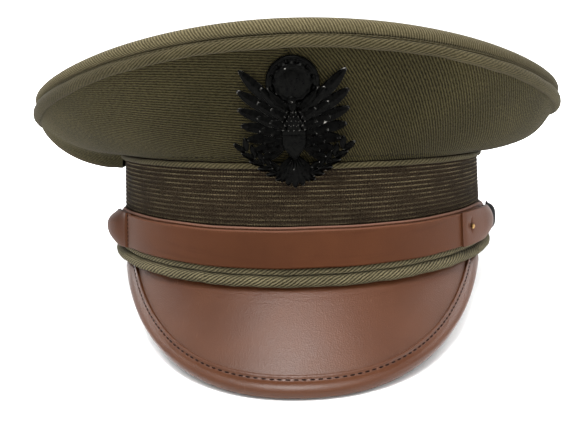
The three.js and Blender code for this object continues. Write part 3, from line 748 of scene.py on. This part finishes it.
def top_place(u, v):
    phi = (2 * u - 1) * math.pi
    if v <= ROLL_SHARE:
        inset, up = curve_through(ROLL_PROFILE, v / ROLL_SHARE)
        return on_crown(phi, inset, rim_height(phi) + up * roll_height(phi))
    rho = 1 - (v - ROLL_SHARE) / (1 - ROLL_SHARE)
    x, y, z = oval((CROWN_A - 6.6) * rho, (CROWN_B - 6.6) * rho, phi, 0, CROWN_X, CROWN_Y)
    ease = 0.3 * smooth((rho - 0.9) / 0.1)
    return [x, y, top_height(phi, rho) + ease]


ROLL_RIBS = 720               # ribs round the roll


def roll_lean(phi):
    """How far the roll's ribs lean from the edge's own normal."""
    return math.radians(TOP_RIBS - 27 * math.sin(phi))


# how far the ribs have walked round the roll at each degree
roll_walk = [0.0]
for k in range(360):
    roll_walk.append(roll_walk[-1] + math.cos(roll_lean(math.radians(k - 179.5))))


def top_uv(u, v):
    along = min(1.0, v / ROLL_SHARE) * ROLL_GIRTH + max(0.0, v - ROLL_SHARE) * 150
    k = min(359, int(u * 360))
    walked = mix(roll_walk[k], roll_walk[k + 1], u * 360 - k) / roll_walk[360]
    return walked * ROLL_RIBS * WALE * 0.9 + math.sin(roll_lean((2 * u - 1) * math.pi)) * along, along


top = surface("crown_top", top_place, 360, 50, top_uv, thick=CLOTH)
fit(top, roll_cloth, "light_olive_cloth", "crown_top")

# ---------------------------------------------------------------- band and its cords
BRAID_RIB = 1.72
BRAID_FOOT = 5.6


def band_place(u, v):
    phi = (2 * u - 1) * math.pi
    z = mix(0.6, BAND_TOP, v)
    rib = 0.0
    out = -1.35 * (1 - smooth((z - 4.4) / 1.4))
    if z > BRAID_FOOT:
        rib = 0.17 * math.cos(2 * math.pi * (z - BRAID_FOOT) / BRAID_RIB)
    return on_band(phi, z, out + rib - 0.2)


BAND_ROWS = 156
band = surface("band", band_place, 240, BAND_ROWS, ring_uv(BAND_RADIUS, 44.2))
edit(band, merge)
apply(band, "SOLIDIFY", thickness=(BAND_WALL - 0.4) * MM, offset=-1, use_even_offset=True)
edit(band, face_out)
shade(band)


def mark_ridges(obj):
    """Writes how high each point of the band lies on its rib, 0 in a valley and 1 on a ridge."""
    values = []
    for v in obj.data.vertices:
        x, y, z = [c / MM - s for c, s in zip(v.co, STAND)]
        own = (x, y * COS_TILT - z * SIN_TILT, z * COS_TILT + y * SIN_TILT)
        phi = math.atan2(own[0] / BAND_A, -own[1] / BAND_B)
        front = max(math.cos(phi), 0.0) ** 2
        high = own[2]
        for _ in range(3):
            sag = FRONT_SAG * front * (1 - high / SAG_HIGH)
            high = own[2] + sag + BAND_SKEW * high * math.sin(phi)
        wave_at = math.cos(2 * math.pi * (high - BRAID_FOOT) / BRAID_RIB)
        values.append(max(0.0, wave_at) ** 8)
    layer = obj.data.attributes.get("ridge") or obj.data.attributes.new("ridge", "FLOAT", "POINT")
    layer.data.foreach_set("value", values)


mark_ridges(band)
fit(band, braid, "braid", "band")

CORDS = (
    # name, height of its middle, half height, half width, how far out, extra width at the sides, girth
    ("welt_cord", 2.35, 2.2, 1.75, 0.75, 1.0, 12.6),
    ("welt_fold", 5.95, 1.15, 0.85, 1.25, 0.0, 6.4),
    ("band_top_welt", 43.9, 1.05, 0.75, 1.1, 0.0, 5.8),
)


def cord_piece(name, lift, half, wide, out, swell, girth):
    def place(u, v):
        phi, t = round_at(u, v)
        more = swell * math.sin(phi) ** 2
        wobble = 0.1 * math.sin(23 * phi) + 0.07 * math.sin(53 * phi + 1)
        return on_band(phi, lift + half * math.sin(t) + wobble * half / 2,
                       out + more + (wide + more) * math.cos(t))

    obj = surface(name, place, 320, 14, ring_uv(BAND_RADIUS, girth), closed=True)
    cloth = piping_cloth if name == "band_top_welt" else cord_cloth
    return fit(obj, cloth, "light_olive_cloth", name)


cords = {row[0]: cord_piece(*row) for row in CORDS}

# ---------------------------------------------------------------- chin strap
STRAP_FOOT = 7.4
STRAP_TAPER = math.radians(66)  # past here the strap narrows toward its buttons


def strap_piece(name, start, end, high, out, thick, material):
    start, end = math.radians(start), math.radians(end)
    section = ((0, thick - 0.5), (0.5, thick), (high / 2, thick), (high - 0.5, thick), (high, thick - 0.5),
               (high, 0.3), (high - 0.3, 0), (high / 2, 0), (0.3, 0), (0, 0.3))

    def place(u, v):
        phi = mix(start, end, u)
        narrow = 2.6 * smooth((abs(phi) - STRAP_TAPER) / 0.2)
        i = v * len(section)
        a, b = section[int(i) % len(section)], section[(int(i) + 1) % len(section)]
        f = i - int(i)
        up, off = mix(a[0], b[0], f), mix(a[1], b[1], f)
        sway = 0.12 * math.sin(7 * phi + 0.6) + 0.06 * math.sin(19 * phi)
        up += narrow * (1 - 2.2 * up / high)
        return on_band(phi, STRAP_FOOT + up + sway, out + off)

    obj = surface(name, place, 160, len(section) * 2,
                  lambda u, v: (mix(start, end, u) * BAND_RADIUS, v * 32))
    cap_ends(obj)
    shade(obj, 35)
    return fit(obj, material, "strap_leather", name)


strap_piece("strap_inner", -87, 87, 14.7, 0.4, 1.5, inner_leather)
strap_piece("strap_outer", -61, 62, 13.7, 2.2, 1.5, outer_leather)

FOLD_THICK = 1.4
FOLD_RADIUS = 94              # the circle that the folds' dents are measured round
MM_A_DEGREE = 1.65            # along that circle
SEAM_AT = -57.4               # where a seam holds the left fold down, in degrees round the cap
STUD_AT = math.radians(53)
STUD_UP = STRAP_FOOT + 13.7 / 2 + 0.8
FOLDS = (
    # name, foot, height, then the path: where round the cap, how far out in the middle and at the edges
    ("keeper_left", 7.3, 14.5, (
        (-55.6, 2.95, 2.95), (-57.2, 3.15, 3.1), (-59.2, 4.7, 4.2), (-62.2, 6.8, 5.0), (-65.5, 8.2, 5.0),
        (-68.5, 8.4, 4.5), (-71, 7.4, 3.9), (-72.2, 5.4, 3.4), (-71.4, 3.5, 3.2),
    )),
    ("keeper_right", 7.3, 14.3, (
        (49.1, 4.15, 4.15), (51.5, 4.4, 4.4), (55.5, 4.9, 4.8), (59.5, 5.7, 4.9), (63, 6.7, 4.8),
        (66, 7.2, 4.3), (68.2, 6.6, 3.8), (69.2, 5.0, 3.4), (68.2, 3.4, 3.1),
    )),
)


def stud_dent(phi, up):
    """The pull of the stud on the leather: a dimple and the slit that it came through."""
    across = (phi - STUD_AT) * FOLD_RADIUS
    away = math.hypot(across, up - STUD_UP)
    dimple = 0.45 * math.exp(-(away / 2.4) ** 2)
    slit = 0.55 * math.exp(-((across - 0.5) / 0.28) ** 2) * smooth((3.6 - abs(up - STUD_UP - 0.6)) / 1.2)
    return dimple + slit


def fold_piece(name, foot, high, path):
    """The strap's end, folded on itself: it bellies out between its edges."""
    dented = name == "keeper_right"

    def line(u):
        at, middle, edge = curve_through(path, u)
        return math.radians(at), middle, edge

    def place(u, v):
        phi, middle, edge = line(u)
        t = 2 * math.pi * v - math.pi
        # a rounded strip in section: its height follows the sine, its thickness the cosine
        level = 0.5 + 0.5 * max(-1.0, min(1.0, 1.06 * math.sin(t)))
        face = max(-1.0, min(1.0, 2.6 * math.cos(t)))
        belly = 1 - abs((level - 0.52) / 0.52) ** 2.2
        if not dented:
            edge -= 2.4 * smooth((level - 0.45) / 0.5) * smooth((middle - 3.4) / 3)
        out = mix(edge, middle, belly)
        turn_in = smooth((u - 0.35) / 0.5)
        up = foot + 0.5 * turn_in + level * (high - 1.5 * turn_in)
        step = 0.02
        a, b = line(max(0.0, u - step)), line(min(1.0, u + step))
        p = Vector(on_band(a[0], up, mix(a[2], a[1], belly)))
        q = Vector(on_band(b[0], up, mix(b[2], b[1], belly)))
        along = (q - p).normalized()
        side = along.cross(Vector((0, 0, 1))).normalized()
        if name == "keeper_left":
            side = -side
        thick = FOLD_THICK / 2 * face * mix(0.55, 1.0, smooth(u / 0.1))
        if dented and face > 0:
            thick -= stud_dent(phi, up)
        if not dented and face > 0:
            sewn = (math.degrees(phi) - SEAM_AT) * MM_A_DEGREE
            thick -= 0.32 * math.exp(-(sewn / 0.75) ** 2) - 0.16 * math.exp(-((sewn + 1.5) / 0.7) ** 2)
        return Vector(on_band(phi, up, out)) + side * thick

    obj = surface(name, place, 110, 90, lambda u, v: (u * 22, v * 32))
    cap_ends(obj)
    shade(obj, 45)
    return fit(obj, keeper_leather if dented else strap_leather, "strap_leather", name)


keepers = {row[0]: fold_piece(*row) for row in FOLDS}

seam = []
for k in range(8):
    up = 8.6 + k * 1.72
    point = on_band(math.radians(SEAM_AT), up, 3.2 + FOLD_THICK / 2 - 0.26)
    seam.append((point, (0, 0, 1), band_normal(math.radians(SEAM_AT))))
seam = threads("fold_seam", seam, 1.25, 0.75, brown_thread_and_shade)
with_threads(keepers["keeper_left"], seam)


def turned(name, profile, at, up, columns=40, groove=0.0):
    """A round piece on the band: profile rows are radius and height off the band."""
    foot = Vector(on_band(at, up, 0))
    out = band_normal(at)
    side = out.cross(Vector((0, 0, 1))).normalized()
    rise = side.cross(out)

    def place(u, v):
        r, h = curve_through(profile, v)
        t = 2 * math.pi * u
        x, y = r * math.cos(t), r * math.sin(t)
        if groove and h > profile[0][1]:
            h -= groove * math.exp(-(x / 0.22) ** 4) * smooth((profile[0][1] + 3 - h) / 3)
        return foot + side * x + rise * y + out * h

    obj = surface(name, place, columns, len(profile) * 4, closed=True)
    shade(obj, 50)
    return obj


BUTTON_AT = math.radians(78)
BUTTON_PROFILE = (
    # radius and height: up the shank, out under the head, round its rim and over the dome
    (0.0, -3.4), (1.3, -3.4), (1.3, 0.0), (1.3, 2.5), (3.2, 2.65), (6.2, 2.6), (7.0, 2.8), (7.2, 3.25),
    (6.9, 3.75), (6.5, 3.8), (6.3, 4.1), (5.6, 5.5), (4.3, 6.6), (2.6, 7.2), (1.2, 7.34), (0.0, 7.35),
)
for side_name, sign, up in (("button_left", -1, 11.6), ("button_right", 1, 12.9)):
    button = turned(side_name, BUTTON_PROFILE, sign * BUTTON_AT, up, 48)
    fit(button, lacquer, "dark_metal", side_name)

STUD_OUT = 4.9 + FOLD_THICK / 2 + 0.3
STUD_PROFILE = (
    (0.0, STUD_OUT - 0.7), (0.8, STUD_OUT - 0.7), (1.0, STUD_OUT - 0.4), (1.1, STUD_OUT - 0.1),
    (1.05, STUD_OUT + 0.1), (0.8, STUD_OUT + 0.3), (0.45, STUD_OUT + 0.4), (0.0, STUD_OUT + 0.42),
)
stud = turned("keeper_stud", STUD_PROFILE, STUD_AT, STUD_UP, 40, groove=0.45)
fit(stud, brass, "brass", "keeper_stud")

# ---------------------------------------------------------------- visor
VISOR_TILT = math.radians(40)
VISOR_LONG = 47.1
VISOR_END = math.radians(66)
VISOR_POWER = 2.6
VISOR_THICK = 2.0
VISOR_WAY = Vector((0, -math.cos(VISOR_TILT), -math.sin(VISOR_TILT)))
VISOR_SPAN = VISOR_END * 0.985 * 0.97


def visor_reach(phi):
    return VISOR_LONG * (1 - (abs(phi) / VISOR_END) ** VISOR_POWER)


def visor_normal(phi):
    tangent = Vector((BAND_A * math.cos(phi), BAND_B * math.sin(phi), 0))
    n = tangent.cross(VISOR_WAY).normalized()
    if n.z < 0 or (n.z < 0.01 and n.x * phi < 0):
        n = -n
    return n


def visor_point(phi, s, deep):
    return Vector(on_band(phi, -0.55, 0.3)) + VISOR_WAY * s - visor_normal(phi) * deep


def visor_place(u, v):
    phi = mix(-VISOR_SPAN, VISOR_SPAN, u)
    return visor_point(phi, mix(-1.5, max(visor_reach(phi) - 2.3, 0.6), v), 0)


visor = surface("visor", visor_place, 120, 24, lambda u, v: (u * 160, v * 45), thick=-VISOR_THICK)
fit(visor, visor_leather, "visor_leather", "visor")

BINDING_SECTION = (
    # how far in from the edge, and how high over the board's upper face
    (8.3, -0.1), (8.3, 0.5), (8.1, 0.95), (7.7, 1.1), (7.1, 1.05), (6.5, 0.75), (5.9, 0.68), (5.2, 0.85),
    (4.2, 1.25), (3.0, 1.45), (1.8, 1.3), (0.8, 0.75), (0.15, -0.2), (0.0, -1.0), (0.2, -1.9), (0.9, -2.8),
    (2.0, -3.3), (3.4, -3.4), (5.4, -3.15), (8.0, -3.1), (8.3, -2.9), (8.3, -2.2), (5.0, -2.15),
    (1.7, -1.9), (1.5, -1.0), (1.7, -0.15), (5.0, -0.1),
)


def binding_in(phi, inset):
    """The binding keeps its width where the visor's edge turns back, so it is laid further in."""
    return inset * (1 + 1.7 * (abs(phi) / VISOR_END) ** 3 * smooth((inset - 2) / 3))


def binding_place(u, v):
    phi = mix(-VISOR_SPAN, VISOR_SPAN, u)
    reach = max(visor_reach(phi), 2.9)
    closed = list(BINDING_SECTION) + [BINDING_SECTION[0]]
    i = v * len(BINDING_SECTION)
    k = min(int(i), len(BINDING_SECTION) - 1)
    inset, up = [mix(a, b, i - k) for a, b in zip(closed[k], closed[k + 1])]
    return visor_point(phi, max(reach - binding_in(phi, inset), 0.2 + 0.03 * (8.3 - inset)), -up)


binding = surface("visor_binding", binding_place, 200, len(BINDING_SECTION) * 2,
                  lambda u, v: (u * 260, v * 24))
cap_ends(binding)
shade(binding, 50)
fit(binding, visor_leather, "visor_leather", "visor_binding")

BINDING_STITCH = 2.9          # from one stitch to the next along the binding
STITCH_IN = 6.2               # how far in from the edge the row lies


def stitch_row(name, lift, material):
    """The row of stitches through the binding, on its upper or under side."""
    def at(phi):
        return visor_point(phi, max(visor_reach(phi) - binding_in(phi, STITCH_IN), 0.5), -lift)

    spots = []
    phi, end = -VISOR_SPAN * 0.93, VISOR_SPAN * 0.93
    last = at(phi)
    travelled = BINDING_STITCH
    while phi < end:
        phi += 0.002
        here = at(phi)
        travelled += (here - last).length
        if travelled >= BINDING_STITCH:
            travelled -= BINDING_STITCH
            spots.append((here, here - last, visor_normal(phi)))
        last = here
    return threads(name, spots, 1.9, 0.62, material)


with_threads(binding, stitch_row("stitches_over", 0.72, brown_thread_and_shade),
             stitch_row("stitches_under", -3.3, brown_thread_and_shade))

# the stitch line through the quarters just over the band's welt
WELT_STITCH = 2.9             # from one stitch to the next
FRONT_RADIUS = 105            # the circle that they are counted round
spots = []
for k in range(-22, 23):
    phi = k * WELT_STITCH / FRONT_RADIUS
    share = WELT_STITCH_UP / quarter_length(phi)
    point = Vector(quarter_point(phi, share)) - quarter_normal(phi, share) * 0.14
    spots.append((point, (math.cos(phi), math.sin(phi), 0.0), quarter_normal(phi, share)))
welt_stitches = threads("welt_stitches", spots, 1.7, 0.4, olive_thread)
with_threads(cords["band_top_welt"], welt_stitches)

# ---------------------------------------------------------------- badge
BADGE_LEAN = math.radians(14.5)
BADGE_POST = Vector(quarter_point(0, 0.27))
BADGE_FORWARD = Vector((0, -math.cos(BADGE_LEAN), -math.sin(BADGE_LEAN)))
BADGE_UP = Vector((0, -math.sin(BADGE_LEAN), math.cos(BADGE_LEAN)))
BADGE_LIFT = 2.0
PLATE = 0.6                   # the back of the badge's plate over the lift


def on_badge(x, y, z):
    """A point of the badge's own drawing: across, up, and out from the cap."""
    return BADGE_POST + Vector((x, 0, 0)) + BADGE_UP * y + BADGE_FORWARD * (BADGE_LIFT + z)


def blade(x, y, angle, long, wide, low=PLATE, high=1.4, full=0.42, bend=0.0, vane=0.0, columns=22):
    """A feather or leaf: its root, the way it points, and how wide and how high it is. full is
    where it is widest; bend turns it along its length; vane is the spacing of its fine ribs."""
    power = math.log(0.5) / math.log(full)

    def place(u, v):
        half = wide / 2 * max(0.0, math.sin(math.pi * u ** power)) ** 0.62
        t = 2 * math.pi * v
        off = half * math.cos(t)
        arch = max(0.0, math.sin(t))
        share = 1 - abs(math.cos(t)) ** 2
        z = low + (high * (0.55 + 0.45 * share) if arch > 0 else 0.0)
        if arch > 0.01:
            z += 0.28 * math.exp(-(off / 0.32) ** 2) * smooth(u * 6) * smooth((1 - u) * 6)
            if vane:
                z += 0.11 * math.sin(2 * math.pi * (u * long - abs(off) * 0.9) / vane) * share
        z = mix(low + 0.4 * high, z, smooth(u / 0.06) * smooth((1 - u) / 0.06))
        turn = math.radians(angle + bend * u)
        way_of = math.radians(angle + bend * u / 2)
        along = u * long
        return on_badge(x + along * math.cos(way_of) - off * math.sin(turn),
                        y + along * math.sin(way_of) + off * math.cos(turn), z)

    return surface("blade", place, columns, 12, closed=True)


def dome(x, y, rows, columns=48, wave_count=0, wave_from=0.0, wave_deep=0.0, squeeze=1.0):
    """A round relief: rows are radius and height, from the plate's back round to the middle."""
    def place(u, v):
        r, h = curve_through(rows, v)
        t = 2 * math.pi * u
        if wave_count:
            near = math.exp(-((r - wave_from) / 0.8) ** 2)
            h += wave_deep * near * math.cos(wave_count * t)
        return on_badge(x + r * math.cos(t) * squeeze, y + r * math.sin(t), h)

    return surface("dome", place, columns, len(rows) * 4, closed=True)


def shield_relief():
    """A pointed shield with a raised border, faint upright reeds and a bar across its top."""
    def place(u, v):
        half = 4.7 * (1 - max(0.0, (u - 0.42) / 0.58) ** 1.7) + 0.02
        t = 2 * math.pi * v
        off = half * max(-1.0, min(1.0, 1.12 * math.cos(t)))
        down = 2.9 - 12.2 * u
        if math.sin(t) <= 0:
            return on_badge(off, down, 1.9)
        border = min(half - abs(off), 12.2 * u, 12.2 * (1 - u) * 0.8)
        rim = 0.45 * math.exp(-((border - 0.45) / 0.38) ** 2)
        field = 0.5 * (1 - (off / 5) ** 2) * smooth(border / 1.2)
        reed = 0.07 * math.cos(2 * math.pi * off / 0.62) * smooth((border - 0.9) / 0.3)
        bar = 0.16 * math.exp(-((u - 0.22) / 0.025) ** 4)
        edge = 0.9 * smooth(min(border, 0.5) / 0.28)
        return on_badge(off, down, 1.9 + edge + rim + field + reed + bar)

    obj = surface("shield", place, 60, 48)
    cap_ends(obj)
    return obj


def feather_row(side, count, angles, longs, roots, wides, x, low, high, full, bend, vane, columns,
                fall=1.0, step=0.0):
    """One row of a wing's feathers. Each pair of values is for the first and the last of them; fall
    is how their length runs between, and step sets every other one lower."""
    row = []
    for k in range(count):
        t = k / (count - 1)
        angle = mix(*angles, t)
        row.append(blade(side * x, mix(*roots, t), angle if side == 1 else 180 - angle,
                         mix(*longs, t ** fall), mix(*wides, t), low, high - step * (k % 2), full,
                         side * bend, vane, columns))
    return row


def badge_parts():
    parts = []
    # the round boss above: a scalloped border round a smooth field, and twelve beads
    parts.append(dome(0, 19.9, (
        (0.0, 0.6), (4.5, 0.6), (9.3, 0.6), (9.8, 0.8), (9.8, 1.5), (9.4, 2.0), (8.8, 2.1), (8.2, 1.75),
        (7.6, 1.8), (7.0, 2.35), (6.4, 2.6), (5.7, 2.35), (4.8, 2.4), (3.3, 2.75), (1.6, 2.95), (0.0, 3.0),
    ), 96, 12, 7.1, 0.35))
    for k in range(12):
        t = math.radians(15 + 30 * k)
        parts.append(dome(8.0 * math.cos(t), 19.9 + 8.0 * math.sin(t), (
            (0.0, 1.4), (0.62, 1.4), (0.7, 1.9), (0.55, 2.25), (0.3, 2.42), (0.0, 2.45)), 12))
    for side in (1, -1):
        # long feathers, then two shorter rows over their roots
        parts += feather_row(side, 7, (41, -36), (25.5, 13.0), (6.6, -3.0), (4.6, 4.0), 1.6, PLATE,
                             1.15, 0.62, 9, 1.05, 34, fall=0.8, step=0.05)
        parts += feather_row(side, 6, (44, -30), (15.5, 9.0), (6.8, -2.4), (3.9, 3.9), 1.5, PLATE + 0.75,
                             0.95, 0.6, 8, 0.9, 26)
        parts += feather_row(side, 5, (52, -22), (9.6, 6.6), (7.4, -1.4), (3.4, 3.4), 1.3, PLATE + 1.35,
                             0.85, 0.58, 6, 0.8, 22)
        # a rounded shoulder along each wing's upper edge
        parts.append(blade(side * 1.5, 9.0, 90 - side * 52, 12.5, 2.6, PLATE + 1.0, 1.5, 0.5, side * 26))
        # laurel sprays below, leaves in pairs along a stem, with small berries
        for k in range(6):
            t = k / 5
            x = side * mix(3.4, 19.6, t)
            y = mix(-14.6, -5.2, t * t * 0.55 + t * 0.45)
            point = (mix(8, 62, t) if side == 1 else 180 - mix(8, 62, t))
            long = 6.2 - 0.5 * t
            for swing, bend in ((31, -14), (-33, 14)):
                parts.append(blade(x - side * 1.6, y - 0.9, point + side * swing, long, 2.5, PLATE, 1.1,
                                   0.45, side * bend, 0.0, 18))
            parts.append(dome(x, y + 0.5, ((0.0, 1.0), (0.5, 1.05), (0.66, 1.5), (0.45, 1.95),
                                           (0.0, 2.1)), 10))
        parts.append(blade(0, -15.7, 5 if side == 1 else 175, 22.6, 1.3, PLATE, 1.0, 0.35, side * 42,
                           0.0, 30))
    # fan tail below the shield
    for k in (-3, 3, -2, 2, -1, 1, 0):
        parts.append(blade(0, -6.6, -90 + k * 12, 14.4 - abs(k) * 0.7, 3.3,
                           PLATE + 0.2 - 0.05 * abs(k), 1.2, 0.68, 0.0, 0.9, 24))
    # the bird's breast with rows of scale feathers, its neck, head and bill
    parts.append(dome(0, 5.0, ((0.0, 0.7), (3.8, 0.7), (4.5, 1.5), (4.2, 2.4), (3.0, 3.1), (1.4, 3.45),
                               (0.0, 3.5)), 32, squeeze=0.86))
    for row in range(4):
        count = 4 + row % 2
        for k in range(count):
            x = (k - (count - 1) / 2) * 1.55
            parts.append(blade(x, 9.6 - row * 1.6, -90 + x * 7, 2.9, 1.9, 2.15 + 0.12 * row, 0.95, 0.55,
                               0.0, 0.0, 8))
    parts.append(blade(-0.2, 8.6, 92, 5.2, 3.6, PLATE + 0.6, 2.0, 0.5, 10, 0.8, 18))
    parts.append(dome(-0.5, 13.3, ((0.0, 0.8), (1.4, 0.9), (1.95, 1.6), (1.8, 2.5), (1.1, 3.1),
                                   (0.0, 3.3)), 20))
    parts.append(blade(-1.4, 13.5, 188, 3.1, 1.5, 1.2, 1.1, 0.3, 34, 0.0, 10))
    parts.append(shield_relief())
    # the post through the cloth
    parts.append(turned_post())
    return parts


def turned_post():
    def place(u, v):
        r, z = curve_through(((0.0, -5.3), (1.05, -5.3), (1.2, -5.1), (1.2, -2), (1.2, 0.8), (0.0, 0.8)), v)
        t = 2 * math.pi * u
        return on_badge(r * math.cos(t), r * math.sin(t), z)

    return surface("post", place, 20, 15, closed=True)


badge = joined("badge", badge_parts())
shade(badge, 38)
fit(badge, dark_metal, "dark_metal", "badge")

for slot in bpy.data.objects["badge_nut"].material_slots:
    slot.material = dark_metal

# ---------------------------------------------------------------- camera, floor and lights
CAMERA_FAR = 450.0
CAMERA_SIDE = math.radians(1.0)
CAMERA_UP = math.radians(5.55)
CAMERA_ROLL = math.radians(-1.5)
EYE_BASE = Vector((0, 0, 25))
LOOK_AT = Vector((-6.9, 0, 11.7))
LENS = 56.87

eye = EYE_BASE + CAMERA_FAR * Vector((
    math.cos(CAMERA_UP) * math.sin(CAMERA_SIDE), -math.cos(CAMERA_UP) * math.cos(CAMERA_SIDE),
    math.sin(CAMERA_UP)))
ahead = (LOOK_AT - eye).normalized()
right = ahead.cross(Vector((0, 0, 1))).normalized()
above = right.cross(ahead)
right, above = (right * math.cos(CAMERA_ROLL) + above * math.sin(CAMERA_ROLL),
                above * math.cos(CAMERA_ROLL) - right * math.sin(CAMERA_ROLL))
lean_back = Matrix.Rotation(-tilt, 3, "X")
camera_turn = Matrix([lean_back @ right, lean_back @ above, lean_back @ -ahead]).transposed()
camera_data = bpy.data.cameras.new("camera")
camera = bpy.data.objects.new("camera", camera_data)
scene.collection.objects.link(camera)
camera.matrix_world = Matrix.Translation(world(eye)) @ camera_turn.to_4x4()
camera_data.lens = LENS
camera_data.sensor_width = 36
camera_data.clip_start, camera_data.clip_end = 0.02, 30
scene.camera = camera

deselect()
bpy.ops.mesh.primitive_plane_add(size=14, location=(0, 3, -0.0002))
floor = bpy.context.object
floor.name = "floor"
paper = Shader("white paper", 0.9, specular=0.1)
floor.data.materials.append(paper.finish((0.95, 0.95, 0.95, 1)))

sky = bpy.data.worlds.new("soft room")
sky.use_nodes = True
sky.node_tree.nodes["Background"].inputs["Color"].default_value = (1.0, 1.0, 1.0, 1)
sky.node_tree.nodes["Background"].inputs["Strength"].default_value = 1.4
scene.world = sky

LIGHTS = (
    # name, place, aimed at, size, power
    ("key", (-0.8, -0.8, 1.3), (0, -0.05, 0.05), 1.1, 3),
    ("side", (1.4, -0.3, 0.2), (0.05, 0, 0.06), 0.7, 7),
    ("front", (-0.1, -0.62, 1.35), (0, -0.1, 0.08), 0.6, 18),
    ("top", (-0.12, -0.2, 1.5), (0, -0.12, 0.05), 0.6, 22),
    ("floor left", (-0.55, 0.75, 0.6), (-0.25, 0.05, 0), 0.6, 10),
    ("floor right", (0.55, 0.75, 0.6), (0.25, 0.05, 0), 0.6, 10),
)
for name, place_at, aim, size, power in LIGHTS:
    data = bpy.data.lights.new(name, "AREA")
    data.energy = power
    data.size = size
    lamp = bpy.data.objects.new(name, data)
    scene.collection.objects.link(lamp)
    lamp.location = place_at
    lamp.rotation_euler = (Vector(aim) - Vector(place_at)).to_track_quat("-Z", "Y").to_euler()

daylight = bpy.data.lights.new("daylight", "SUN")
daylight.energy = 1.0
daylight.angle = math.radians(60)
sun = bpy.data.objects.new("daylight", daylight)
scene.collection.objects.link(sun)
sun.rotation_euler = Vector((0.05, 0.3, -1)).to_track_quat("-Z", "Y").to_euler()

scene.view_settings.view_transform = "Standard"
